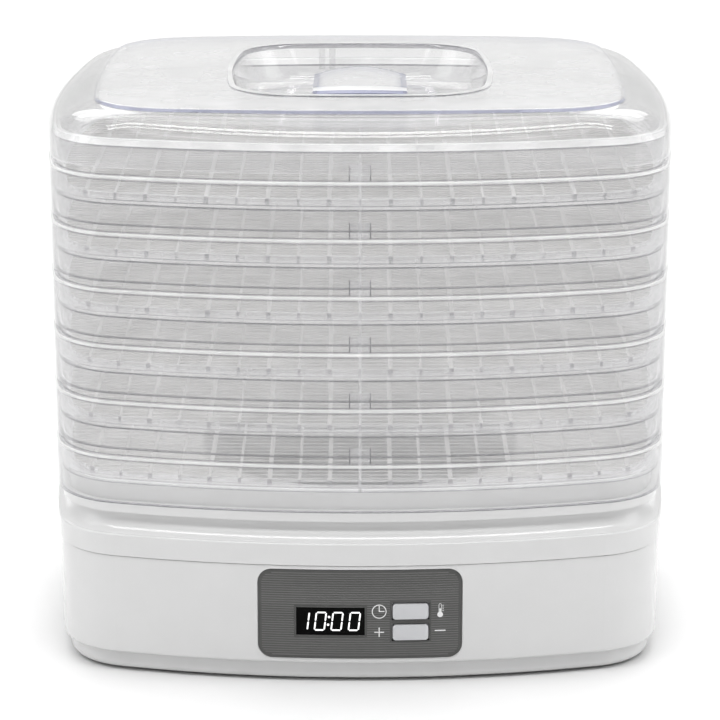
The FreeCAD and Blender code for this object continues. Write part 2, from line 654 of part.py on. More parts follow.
def make_outlet_grille():
    """Black outlet grille in the deck: a rim, rings, a hub and four spokes."""
    pieces = []
    rim = cylinder("grille_rim_disc", "grille_radius", "grille_height", z="deck_top")
    rim_hole = cylinder("grille_rim_hole", "grille_radius - grille_rim", "grille_height",
                        z="deck_top")
    pieces.append(cut("grille_rim", rim, rim_hole))
    for number in range(1, int(size("grille_ring_count")) + 1):
        outer = cylinder(f"grille_ring_disc_{number}", f"grille_ring_pitch * {number} + grille_ring_width",
                         "grille_height", z="deck_top")
        inner = cylinder(f"grille_ring_hole_{number}", f"grille_ring_pitch * {number}",
                         "grille_height", z="deck_top")
        pieces.append(cut(f"grille_ring_{number}", outer, inner))
    span = "2 * grille_radius - grille_rim"
    across = "grille_spoke_width"
    pieces.append(box("grille_spoke_x", span, across, "grille_height",
                      f"-({span}) / 2", f"-{across} / 2", "deck_top"))
    pieces.append(box("grille_spoke_y", across, span, "grille_height",
                      f"-{across} / 2", f"-({span}) / 2", "deck_top"))
    part(fuse("grille_body", pieces), "air_outlet_grille")


def make_heater_duct():
    """Sheet metal cylinder round the fan, with a flange under the deck."""
    wall = cylinder("duct_wall", "duct_outer_radius", "deck_bottom - duct_bottom", z="duct_bottom")
    flange = cylinder("duct_flange_disc", "duct_flange_radius", "duct_flange_thickness",
                      z="deck_bottom - duct_flange_thickness")
    bore = cylinder("duct_bore", "duct_inner_radius", "deck_bottom - duct_bottom", z="duct_bottom")
    part(cut("duct", fuse("duct_solid", [wall, flange]), bore), "heater_duct")


def coil_rings(name, tube):
    """The heater's four turns, as rings of one tube radius."""
    rings = []
    for number in range(int(size("coil_count"))):
        ring = doc.addObject("Part::Torus", f"{name}_{number + 1}")
        bind(ring, Radius1=f"coil_first + coil_pitch * {number}", Radius2=tube)
        place(ring, z="coil_level")
        rings.append(ring)
    return rings


def make_heater():
    """Crossed insulating plates across the duct, and the heating coil they carry."""
    half = "mica_length / 2"
    along = box("mica_x", "mica_length", "mica_thickness", "mica_height",
                f"-{half}", "-mica_thickness / 2", "mica_bottom")
    across = box("mica_y", "mica_thickness", "mica_length", "mica_height",
                 "-mica_thickness / 2", f"-{half}", "mica_bottom")
    plates = fuse("mica_cross", [along, across])
    notches = group("mica_notches", coil_rings("mica_notch", "coil_tube_radius + coil_clearance"))
    part(cut("mica_plates", plates, notches), "heater_frame")
    part(group("coil_set", coil_rings("coil_ring", "coil_tube_radius")), "heater_coil")


def make_fan():
    """Axial impeller, its shaft, and the clip that holds it."""
    pieces = [cylinder("fan_hub", "hub_radius", "hub_top - hub_bottom", z="hub_bottom")]
    count = int(size("blade_count"))
    pitch = FreeCAD.Rotation(Vector(1, 0, 0), size("blade_pitch_angle"))
    for number in range(count):
        turn = FreeCAD.Rotation(Vector(0, 0, 1), 360 * number / count)
        blade = doc.addObject("Part::Box", f"fan_blade_{number + 1}")
        bind(blade, Length="blade_length", Width="blade_chord", Height="blade_thickness")
        corner = Vector(size("blade_start"), -size("blade_chord") / 2, -size("blade_thickness") / 2)
        middle = Vector(0, 0, size("blade_middle"))
        rotation = turn * pitch
        offset = turn.multVec(Vector(corner.x, 0, 0)) + rotation.multVec(Vector(0, corner.y, corner.z))
        blade.Placement = FreeCAD.Placement(middle + offset, rotation)
        pieces.append(blade)
    bore = cylinder("fan_bore", "hub_bore_radius", "hub_top - hub_bottom", z="hub_bottom")
    part(cut("impeller", fuse("fan_solid", pieces), bore), "fan_impeller")
    part(cylinder("shaft", "shaft_radius", "shaft_top - shaft_bottom", z="shaft_bottom"),
         "motor_shaft")
    disc = cylinder("clip_disc", "clip_radius", "clip_thickness", z="hub_top")
    clip_bore = cylinder("clip_bore", "hub_bore_radius", "clip_thickness", z="hub_top")
    part(cut("clip", disc, clip_bore), "impeller_clip")


def make_motor():
    """Motor hung under a sheet metal bridge that stands on the floor."""
    stator = box("stator", "motor_length", "motor_width", "motor_height",
                 "-motor_length / 2", "-motor_width / 2", "motor_bottom")
    under = "bracket_top - bracket_thickness"
    caps = cylinder("motor_caps", "motor_cap_radius", f"{under} - motor_cap_bottom",
                    z="motor_cap_bottom")
    bore = cylinder("motor_bore", "motor_bore_radius", f"{under} - motor_cap_bottom",
                    z="motor_cap_bottom")
    part(cut("motor", fuse("motor_solid", [stator, caps]), bore), "fan_motor")

    thick = "bracket_thickness"
    wide = "bracket_width"
    pieces = [box("bridge_plate", "bracket_length", wide, thick,
                  "-bracket_length / 2", f"-{wide} / 2", under)]
    for side, sign in (("left", -1), ("right", 1)):
        leg_x = "-bracket_length / 2" if sign < 0 else f"bracket_length / 2 - {thick}"
        tab_x = "-bracket_length / 2 - bracket_tab" if sign < 0 else "bracket_length / 2"
        pieces.append(box(f"bridge_leg_{side}", thick, wide, "bracket_top - floor_top",
                          leg_x, f"-{wide} / 2", "floor_top"))
        pieces.append(box(f"bridge_tab_{side}", "bracket_tab", wide, thick,
                          tab_x, f"-{wide} / 2", "floor_top"))
    hole = cylinder("bridge_hole", "bracket_hole_radius", thick, z=under)
    part(cut("bridge", fuse("bridge_solid", pieces), hole), "motor_bracket")

    screws = []
    for side, sign in (("left", -1), ("right", 1)):
        tab_x = signed(sign, "bracket_length / 2 + bracket_tab / 2")
        screws.append(cylinder(f"tab_screw_{side}", "small_head_radius", "small_head_height",
                               tab_x, z=f"floor_top + {thick}"))
        plate_x = signed(sign, "motor_screw_x")
        screws.append(cylinder(f"plate_screw_{side}", "small_head_radius", "small_head_height",
                               plate_x, z="bracket_top"))
    part(group("motor_screw_set", screws), "motor_screws")


def make_sensors():
    """Overheat thermostat, thermal fuse and temperature sensor under the deck."""
    part(cylinder("thermostat", "thermostat_radius", "thermostat_height", "-thermostat_x",
                  "thermostat_y", "deck_bottom - thermostat_height"), "overheat_thermostat")
    part(cylinder("fuse", "fuse_radius", "fuse_length", "fuse_x", "-fuse_y",
                  "deck_bottom - fuse_radius", along=Vector(0, 1, 0)), "thermal_fuse")
    part(cylinder("sensor", "sensor_radius", "sensor_height", "sensor_x", "-sensor_y",
                  "deck_bottom - sensor_height"), "temperature_sensor")


# ---------------------------------------------------------------- control panel


def make_control_panel():
    """Bowed fascia with a window, two button openings and four posts behind."""
    body = new_body("control_panel")
    strip = new_sketch(body, "fascia_strip", "XY_Plane", "panel_bottom")
    add_strip(strip, "panel_width", "panel_face_inset", "panel_back_inset")
    pad(body, strip, "panel_height", "fascia")
    fillet(body, corner_edges(body.Tip.Shape, "panel_width"), "panel_rounding", "fascia_corners")
    posts = new_sketch(body, "post_circles", "XZ_Plane", "-carrier_front")
    for sx, sz in FOUR_CORNERS:
        level = "post_high" if sz > 0 else "post_low"
        add_circle(posts, "post_radius", "panel_screw_x", level, (sx, 1))
    pad(body, posts, "post_length", "posts")
    pilots = new_sketch(body, "pilot_circles", "XZ_Plane", "-carrier_front")
    for sx, sz in FOUR_CORNERS:
        level = "post_high" if sz > 0 else "post_low"
        add_circle(pilots, "small_screw_hole", "panel_screw_x", level, (sx, 1))
    pocket(body, pilots, "pilot_depth", "pilots", reverse=True)
    openings = new_sketch(body, "opening_rectangles", "XZ_Plane", "panel_start")
    add_rectangle(openings, "window_hole_width", "window_hole_height", "window_x", "window_z")
    add_rectangle(openings, "button_hole_width", "button_hole_height", "button_x", "mode_button_z")
    add_rectangle(openings, "button_hole_width", "button_hole_height", "button_x",
                  "adjust_button_z")
    pocket(body, openings, "panel_through", "openings")

    lens = new_body("display_window")
    strip = new_sketch(lens, "lens_strip", "XY_Plane", "window_bottom")
    add_strip(strip, "window_width", "window_face_inset", "panel_back_inset", "window_x")
    pad(lens, strip, "window_height", "lens")


def make_button(label, level):
    """Rocker button: bowed cap, flange behind the fascia, and a stem with its pivot pin."""
    body = new_body(label)
    cap = new_sketch(body, "cap_strip", "XY_Plane", f"{level} - button_height / 2")
    add_strip(cap, "button_width", "button_face_inset", "button_back_inset", "button_x")
    pad(body, cap, "button_height", "cap")
    names = corner_edges(body.Tip.Shape, "button_width", "button_x")
    fillet(body, names, "button_rounding", "cap_corners")
    flange = new_sketch(body, "flange_strip", "XY_Plane", f"{level} - flange_height / 2")
    add_strip(flange, "flange_width", "flange_front_inset", "button_back_inset", "button_x")
    pad(body, flange, "flange_height", "flange")
    stem = new_sketch(body, "stem_rectangle", "XZ_Plane", "-pivot_y")
    add_rectangle(stem, "stem_width", "stem_height", "button_x", level)
    pad(body, stem, "stem_length", "stem")
    pin = new_sketch(body, "pin_circle", "XY_Plane", f"{level} - pin_length / 2")
    add_circle(pin, "pin_radius", "button_x", "pivot_y")
    pad(body, pin, "pin_length", "pivot_pin")


def make_panel_carrier():
    """Frame behind the fascia with the lugs that the rockers' pins turn in."""
    front = "carrier_front"
    deep = "carrier_depth"
    wide = "carrier_width"
    tall = "carrier_height"
    low = "panel_middle - carrier_height / 2"
    outer = box("carrier_block", wide, deep, tall, f"-{wide} / 2", front, low)
    inner = box("carrier_void", f"{wide} - 2 * carrier_wall", deep, f"{tall} - 2 * carrier_wall",
                f"carrier_wall - {wide} / 2", front, f"{low} + carrier_wall")
    pieces = [cut("carrier_frame", outer, inner)]
    for number, (sx, sz) in enumerate(FOUR_CORNERS, 1):
        x = f"{wide} / 2 - carrier_corner" if sx > 0 else f"-{wide} / 2"
        z = f"panel_middle + {tall} / 2 - carrier_corner" if sz > 0 else low
        pieces.append(box(f"carrier_corner_{number}", "carrier_corner", deep, "carrier_corner",
                          x, front, z))
    lug_x = "button_x - lug_width / 2"
    top = "panel_middle + carrier_height / 2"
    pieces.append(box("lug_top", "lug_width", "lug_depth", f"{top} - upper_lug",
                      lug_x, front, "upper_lug"))
    pieces.append(box("lug_bottom", "lug_width", "lug_depth", f"lower_lug - ({low})",
                      lug_x, front, low))
    pieces.append(box("lug_middle", f"{wide} / 2 - ({lug_x})", "lug_depth", "middle_lug_height",
                      lug_x, front, "middle_lug"))
    holes = [cylinder("pivot_hole", "pin_hole_radius", "pivot_hole_length", "button_x",
                      "pivot_y", "pivot_hole_bottom")]
    holes += screw_bores("carrier_bore", front, deep)
    solid = fuse("carrier_solid", pieces)
    part(cut("carrier", solid, group("carrier_holes", holes)), "panel_carrier")


def screw_bores(name, front, depth):
    """Clearance bores for the four panel screws, from one depth to another."""
    bores = []
    for number, (sx, sz) in enumerate(FOUR_CORNERS, 1):
        level = "post_high" if sz > 0 else "post_low"
        bores.append(cylinder(f"{name}_{number}", "small_screw_hole", depth,
                              signed(sx, "panel_screw_x"), front, level, along=Vector(0, 1, 0)))
    return bores


def make_control_board():
    """Circuit board behind the panel, its display, four switches and four screws."""
    low = "panel_middle - board_height / 2"
    plate = box("board_plate", "board_width", "board_thickness", "board_height",
                "-board_width / 2", "board_front", low)
    bores = group("board_bores", screw_bores("board_bore", "board_front", "board_thickness"))
    part(cut("board", plate, bores), "control_board")
    part(box("module", "module_width", "board_front - module_front", "module_height",
             "window_x - module_width / 2", "module_front", "window_z - module_height / 2"),
         "display_module")
    switches = []
    for level in ("mode_button_z", "adjust_button_z"):
        for side in (-1, 1):
            name = f"{level}_{'left' if side < 0 else 'right'}"
            x = f"button_x + {side} * switch_spacing / 2"
            case = box(f"case_{name}", "switch_size", "switch_depth", "switch_size",
                       f"{x} - switch_size / 2", "board_front - switch_depth",
                       f"{level} - switch_size / 2")
            plunger = cylinder(f"plunger_{name}", "plunger_radius", "plunger_reach", x,
                               "board_front - switch_depth - plunger_reach", level,
                               along=Vector(0, 1, 0))
            switches.append(fuse(f"switch_{name}", [case, plunger]))
    part(group("switch_set", switches), "tact_switches")

    screws = []
    back = "board_front + board_thickness"
    for number, (sx, sz) in enumerate(FOUR_CORNERS, 1):
        level = "post_high" if sz > 0 else "post_low"
        x = signed(sx, "panel_screw_x")
        head = cylinder(f"panel_screw_head_{number}", "small_head_radius", "small_head_height",
                        x, back, level, along=Vector(0, 1, 0))
        shank = cylinder(f"panel_screw_shank_{number}", "small_screw_radius", "small_screw_length",
                         x, f"{back} - small_screw_length", level, along=Vector(0, 1, 0))
        screws.append(fuse(f"panel_screw_{number}", [head, shank]))
    part(group("panel_screw_set", screws), "panel_screws")


# ---------------------------------------------------------------- power supply


def board_holes():
    """Cells that hold the x and y of the power board's four fixing holes."""
    return [(x, y) for x in ("board_hole_left", "board_hole_right")
            for y in ("board_hole_near", "board_hole_far")]


def make_power_board():
    """Supply board on the floor's standoffs, with its parts and screws."""
    plate = box("supply_plate", "power_board_length", "power_board_width", "board_thickness",
                "power_board_x", "power_board_y", "power_board_bottom")
    part(plate, "power_board")
    top = "power_board_bottom + board_thickness"
    near = "power_board_y + component_margin"
    transformer = box("transformer", "transformer_size", "transformer_size", "transformer_height",
                      "power_board_x + transformer_offset", near, top)
    relay = box("relay", "relay_length", "relay_width", "relay_height",
                "power_board_x + relay_offset", near, top)
    capacitor = cylinder("capacitor", "capacitor_radius", "capacitor_height",
                         "power_board_x + capacitor_offset", f"{near} + capacitor_radius", top)
    terminal = box("terminal", "terminal_length", "terminal_width", "terminal_height",
                   "power_board_x + terminal_offset", near, top)
    part(group("component_set", [transformer, relay, capacitor, terminal]), "board_components")
    screws = []
    for number, (x, y) in enumerate(board_holes(), 1):
        screws.append(cylinder(f"board_screw_{number}", "small_head_radius", "small_head_height",
                               x, y, top))
    part(group("board_screw_set", screws), "board_screws")


def make_cord_entry():
    """Bushing for the mains cord in the rear wall, and the clamp behind it."""
    flange = cylinder("gland_flange", "gland_flange_radius", "gland_face - gland_seat", "zero",
                      "gland_seat", "gland_z", along=Vector(0, 1, 0))
    barrel = cylinder("gland_barrel", "gland_barrel_radius", "gland_seat - gland_end", "zero",
                      "gland_end", "gland_z", along=Vector(0, 1, 0))
    bore = cylinder("gland_bore", "gland_bore_radius", "gland_face - gland_end", "zero",
                    "gland_end", "gland_z", along=Vector(0, 1, 0))
    part(cut("gland", fuse("gland_solid", [flange, barrel]), bore), "cord_gland")
    part(box("clamp", "clamp_length", "clamp_width", "clamp_height", "-clamp_length / 2",
             "clamp_y", "floor_top"), "cord_clamp")


def make_ribbon_cable():
    """Flat cable: down behind the control board, along the floor and up to the supply."""
    thickness = size("ribbon_thickness")
    front, start = size("ribbon_front"), size("ribbon_start")
    low, end, rise = size("ribbon_low"), size("ribbon_end"), size("ribbon_rise")
    bend = size("ribbon_bend")
    half = math.sqrt(0.5)

    def edge_loop(shift, radius):
        """The cable's centre line moved sideways by shift, as lines and two arcs."""
        first = Vector(0, front + shift, start)
        down = Vector(0, front + shift, low + bend)
        level_start = Vector(0, front + bend, low + shift)
        level_end = Vector(0, end - bend, low + shift)
        up = Vector(0, end - shift, low + bend)
        last = Vector(0, end - shift, rise)
        middle_1 = Vector(0, front + bend - radius * half, low + bend - radius * half)
        middle_2 = Vector(0, end - bend + radius * half, low + bend - radius * half)
        return first, last, [
            Part.makeLine(first, down),
            Part.Arc(down, middle_1, level_start).toShape(),
            Part.makeLine(level_start, level_end),
            Part.Arc(level_end, middle_2, up).toShape(),
            Part.makeLine(up, last),
        ]

    outer_first, outer_last, outer = edge_loop(0, bend)
    inner_first, inner_last, inner = edge_loop(thickness, bend - thickness)
    closing = [Part.makeLine(outer_last, inner_last), Part.makeLine(inner_first, outer_first)]
    wire = Part.Wire(Part.__sortEdges__(outer + inner + closing))
    cable = doc.addObject("Part::Feature", "ribbon")
    cable.Shape = Part.Face(wire).extrude(Vector(size("ribbon_width"), 0, 0))
    cable.Placement = FreeCAD.Placement(Vector(size("ribbon_x"), 0, 0), FreeCAD.Rotation())
    part(cable, "ribbon_cable")


# ---------------------------------------------------------------- trays


def make_tray_ring():
    """Clear ring: skirt, outer wall, ledge and neck, with a flange for the floor."""
    body = doc.addObject("PartDesign::Body", "tray_ring")
    swept_wall(body, "ring", [
        ("skirt_chamfer_inset", "skirt_bottom"),
        ("zero", "skirt_chamfer_top"),
        ("zero", "ledge_round_level", "ledge_radius", 1),
        ("ledge_round_inset", "ledge_top"),
        ("neck_inset", "ledge_top"),
        ("neck_inset", "neck_top"),
        ("neck_inner_inset", "neck_top"),
        ("neck_inner_inset", "ledge_bottom"),
        ("tray_inner_inset", "ledge_bottom"),
        ("tray_inner_inset", "flange_top"),
        ("flange_inset", "flange_top"),
        ("flange_inset", "zero"),
        ("tray_inner_inset", "zero"),
        ("tray_inner_inset", "skirt_bottom"),
    ])
    return body


def make_tray_floor():
    """Clear floor: a frame with ribs from front to back and slats laid across them."""
    wide = "2 * (half_width - grid_inset)"
    deep = "2 * (half_depth - grid_inset)"
    frame = doc.addObject("PartDesign::Body", "grid_frame")
    sketch = new_sketch(frame, "frame_outline", "XY_Plane", "flange_top")
    add_outline(sketch, "grid_inset")
    add_outline(sketch, "grid_frame_inset")
    pad(frame, sketch, "grid_top - flange_top", "frame")
    field = doc.addObject("PartDesign::Body", "grid_field")
    sketch = new_sketch(field, "field_outline", "XY_Plane", "flange_top")
    add_outline(sketch, "grid_middle_inset")
    pad(field, sketch, "grid_top - flange_top", "field")
    bars = []
    for index in range(int(size("grid_rib_count"))):
        offset = f"grid_rib_pitch * ({index} - (grid_rib_count - 1) / 2) - grid_rib_width / 2"
        bars.append(box(f"rib_{index}", "grid_rib_width", deep, "grid_top - flange_top",
                        offset, f"-({deep}) / 2", "flange_top"))
    for index in range(int(size("grid_slat_count"))):
        offset = f"grid_slat_pitch * ({index} - (grid_slat_count - 1) / 2) - grid_slat_width / 2"
        bars.append(box(f"slat_{index}", wide, "grid_slat_width", "grid_top - grid_split",
                        f"-({wide}) / 2", offset, "grid_split"))
    crossing = doc.addObject("Part::MultiCommon", "grid_trimmed")
    crossing.Shapes = [fuse("grid_bars", bars), field]
    return fuse("grid", [frame, crossing])


def make_trays():
    """Six trays of one design, numbered from the top, each a ring and its floor."""
    ring = make_tray_ring()
    floor = make_tray_floor()
    for number in range(1, TRAY_COUNT + 1):
        for kind, design in (("wall", ring), ("grid", floor)):
            copy = group(f"{kind}_{number}", [design])
            place(copy, z=f"tray_first + tray_pitch * {TRAY_COUNT - number}")
            part(copy, f"tray_{number}_{kind}")


# ---------------------------------------------------------------- lid


def add_bowl_outline(sketch, grow="zero"):
    """Rounded rectangle of the lid's bowl, grown outwards by a cell's value."""
    half_w = size("bowl_half_width") + size(grow)
    half_d = size("bowl_half_depth") + size(grow)
    corner = size("bowl_corner") + size(grow)
    in_x, in_y = half_w - corner, half_d - corner
    quarter = math.pi / 2
    right, up_right, top, up_left, left, low_left, low, low_right = sketch.addGeometry([
        Part.LineSegment(Vector(half_w, -in_y, 0), Vector(half_w, in_y, 0)),
        arc(in_x, in_y, corner, 0, quarter),
        Part.LineSegment(Vector(in_x, half_d, 0), Vector(-in_x, half_d, 0)),
        arc(-in_x, in_y, corner, quarter, 2 * quarter),
        Part.LineSegment(Vector(-half_w, in_y, 0), Vector(-half_w, -in_y, 0)),
        arc(-in_x, -in_y, corner, 2 * quarter, 3 * quarter),
        Part.LineSegment(Vector(-in_x, -half_d, 0), Vector(in_x, -half_d, 0)),
        arc(in_x, -in_y, corner, 3 * quarter, 4 * quarter),
    ], False)
    loop = [right, up_right, top, up_left, left, low_left, low, low_right]
    for here, after in zip(loop, loop[1:] + loop[:1]):
        sketch.addConstraint(Sketcher.Constraint("Tangent", here, 2, after, 1))
    sketch.addConstraint(Sketcher.Constraint("Vertical", right))
    sketch.addConstraint(Sketcher.Constraint("Horizontal", top))
    for index in (up_right, up_left, low_left, low_right):
        driven(sketch, "Radius", index, corner, by=f"bowl_corner + {grow}")
    driven(sketch, "DistanceX", -1, 1, right, 1, half_w, by=f"bowl_half_width + {grow}")
    driven(sketch, "DistanceX", left, 1, -1, 1, half_w, by=f"bowl_half_width + {grow}")
    driven(sketch, "DistanceY", -1, 1, top, 1, half_d, by=f"bowl_half_depth + {grow}")
    driven(sketch, "DistanceY", low, 1, -1, 1, half_d, by=f"bowl_half_depth + {grow}")


def make_lid_cover():
    """Clear dome: skirt, wall and rounded flank, a rim inside, and a top with an opening."""
    body = new_body("lid_cover")
    swept_wall(body, "dome", [
        ("skirt_chamfer_inset", "lid_skirt_bottom"),
        ("zero", "lid_skirt_chamfer"),
        ("zero", "lid_wall_top", "flank_radius", 1),
        ("flank_top_inset", "lid_top"),
        ("flank_top_inset", "flank_inner_top", "flank_inner_radius", -1),
        ("tray_inner_inset", "lid_wall_top"),
        ("tray_inner_inset", "lid_skirt_bottom"),
    ])
    swept_wall(body, "seat_rim", [
        ("rim_outer_inset", "lid_level"), ("rim_inset", "lid_level"),
        ("rim_inset", "rim_top"), ("rim_outer_inset", "rim_top"),
    ])
    outline_pad(body, "top", "top_plate_inset", "flank_inner_top", "lid_top - flank_inner_top")
    opening = new_sketch(body, "bowl_opening", "XY_Plane", "flank_inner_top")
    add_bowl_outline(opening, "bowl_gap")
    pocket(body, opening, "lid_top - flank_inner_top", "opening", reverse=True)


def make_lid_bowl():
    """Clear bowl set in the lid, with a hollow grip block standing in its middle."""
    body = new_body("lid_bowl")
    block = new_sketch(body, "bowl_block", "XY_Plane", "bowl_bottom")
    add_bowl_outline(block)
    pad(body, block, "lid_top - bowl_bottom", "bowl")
    rim = new_sketch(body, "bowl_rim_outline", "XY_Plane", "lid_top")
    add_bowl_outline(rim, "bowl_rim_width")
    pad(body, rim, "bowl_rim_height", "bowl_rim")
    well = new_sketch(body, "well_outline", "XY_Plane", "lid_top + bowl_rim_height")
    add_bowl_outline(well, "well_shrink")
    add_rectangle(well, "grip_width", "grip_length")
    pocket(body, well, "lid_top + bowl_rim_height - bowl_bottom - bowl_wall", "well")
    shave = new_sketch(body, "grip_top_rectangle", "XY_Plane", "grip_top")
    add_rectangle(shave, "grip_width", "grip_length")
    pocket(body, shave, "lid_top + bowl_rim_height - grip_top", "grip_level", reverse=True)
    under = new_sketch(body, "grip_hollow", "XY_Plane", "bowl_bottom")
    add_rectangle(under, "grip_inner_width", "grip_inner_length")
    pocket(body, under, "grip_top - bowl_wall - bowl_bottom", "grip_inside", reverse=True)


# ---------------------------------------------------------------- assembly

make_bottom_plate()
make_main_housing()
make_upper_cover()
make_feet()
make_base_screws()
make_outlet_grille()
make_heater_duct()
make_heater()
make_fan()
make_motor()
make_sensors()
make_control_panel()
make_button("mode_button", "mode_button_z")
make_button("adjust_button", "adjust_button_z")
make_panel_carrier()
make_control_board()
make_power_board()
make_cord_entry()
make_ribbon_cable()
make_trays()
make_lid_cover()
make_lid_bowl()

doc.recompute()
for thing in doc.Objects:
    if "Invalid" in thing.State or "Error" in thing.State:
        raise RuntimeError(f"{thing.Name} ({thing.Label}) failed: {thing.State}")
for thing in parts:
    if thing.Shape.isNull() or not thing.Shape.isValid() or not thing.Shape.Solids:
        raise RuntimeError(f"{thing.Label} has no valid shape")

os.makedirs("parts", exist_ok=True)
for thing in parts:
    thing.Shape.exportStep(f"parts/{thing.Label}.step")
    print(thing.Label, len(thing.Shape.Solids), round(thing.Shape.Volume))
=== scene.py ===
import json
import math

import bmesh
import bpy
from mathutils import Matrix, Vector


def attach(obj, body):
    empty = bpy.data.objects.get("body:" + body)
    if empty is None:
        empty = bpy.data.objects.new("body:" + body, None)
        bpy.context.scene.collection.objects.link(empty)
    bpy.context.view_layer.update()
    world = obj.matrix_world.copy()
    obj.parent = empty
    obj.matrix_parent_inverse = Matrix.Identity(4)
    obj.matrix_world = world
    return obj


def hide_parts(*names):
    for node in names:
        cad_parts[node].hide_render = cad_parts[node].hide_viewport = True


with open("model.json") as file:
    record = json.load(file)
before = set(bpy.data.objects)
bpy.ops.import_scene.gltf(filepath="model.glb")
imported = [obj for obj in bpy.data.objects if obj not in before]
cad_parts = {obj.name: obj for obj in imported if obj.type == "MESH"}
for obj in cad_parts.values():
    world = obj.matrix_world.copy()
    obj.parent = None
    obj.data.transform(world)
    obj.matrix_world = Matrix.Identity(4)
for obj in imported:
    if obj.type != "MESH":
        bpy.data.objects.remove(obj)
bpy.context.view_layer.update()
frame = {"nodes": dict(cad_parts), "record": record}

MM = 0.001
scene = bpy.context.scene

# ------------------------------------------------------------------ sizes in mm

HALF_W, HALF_D = 157.0, 131.0
FRONT_R, SIDE_R, CORNER_R = 454.0, 548.0, 41.0
TRAYS = 6
FIRST_TRAY, PITCH = 99.0, 27.92
SIDE_STEPS, CORNER_STEPS, FRONT_STEPS = 7, 12, 14

# ------------------------------------------------------------------ plan outlines


def plan(half_w, half_d, front_r, side_r, corner_r):
    """Plan outline of four shallow arcs joined by four round corners, counterclockwise from +X."""
    fy, sx = front_r - half_d, side_r - half_w
    a, b = Vector((0, -fy)), Vector((-sx, 0))
    ra, rb = front_r - corner_r, side_r - corner_r
    span = (b - a).length
    along = (ra * ra - rb * rb + span * span) / (2 * span)
    off = math.sqrt(max(ra * ra - along * along, 0))
    c = a + (b - a) / span * along + Vector((fy, sx)) / span * off
    first = math.atan2(c.y, c.x + sx)
    second = math.atan2(c.y + fy, c.x)
    quarter = []
    for i in range(SIDE_STEPS):
        t = first * i / SIDE_STEPS
        quarter.append((side_r * math.cos(t) - sx, side_r * math.sin(t)))
    for i in range(CORNER_STEPS):
        t = first + (second - first) * i / CORNER_STEPS
        quarter.append((c.x + corner_r * math.cos(t), c.y + corner_r * math.sin(t)))
    for i in range(FRONT_STEPS + 1):
        t = second + (math.pi / 2 - second) * i / FRONT_STEPS
        quarter.append((front_r * math.cos(t), front_r * math.sin(t) - fy))
    half = quarter + [(-x, y) for x, y in reversed(quarter[:-1])]
    return half + [(-x, -y) for x, y in half[1:-1]]


def wall_plan(inset):
    """The outline that the walls, trays and lid share, moved inwards by inset."""
    return plan(HALF_W - inset, HALF_D - inset, FRONT_R - inset, SIDE_R - inset, CORNER_R - inset)


def face_y(x, inset):
    """Y of the bowed front at x."""
    r = FRONT_R - inset
    return FRONT_R - HALF_D - math.sqrt(r * r - x * x)


def reach_at(place, inset, across):
    """Half width at y = place, or with across half depth at x = place, of the inset outline."""
    pts = [(y, x) if across else (x, y) for x, y in wall_plan(inset)]
    best = 0.0
    for (x0, y0), (x1, y1) in zip(pts, pts[1:] + pts[:1]):
        if min(y0, y1) <= place <= max(y0, y1) and x0 > 0 and y0 != y1:
            best = max(best, x0 + (x1 - x0) * (place - y0) / (y1 - y0))
    return best


# ------------------------------------------------------------------ mesh helpers

SHARP_ANGLE = 38.0


def rounded(corners, steps=4):
    """Closed section with each (inset, z, radius) corner rounded."""
    out = []
    count = len(corners)
    for i, (x, z, r) in enumerate(corners):
        here = Vector((x, z))
        if r <= 0:
            out.append((x, z))
            continue
        a = (Vector(corners[i - 1][:2]) - here).normalized()
        b = (Vector(corners[(i + 1) % count][:2]) - here).normalized()
        half = a.angle(b) / 2
        centre = here + (a + b).normalized() * (r / math.sin(half))
        p = here + a * (r / math.tan(half)) - centre
        q = here + b * (r / math.tan(half)) - centre
        turn = p.angle_signed(q)
        for k in range(steps + 1):
            t = -turn * k / steps
            v = Vector((p.x * math.cos(t) - p.y * math.sin(t), p.x * math.sin(t) + p.y * math.cos(t)))
            out.append((centre.x + v.x, centre.y + v.y))
    return out


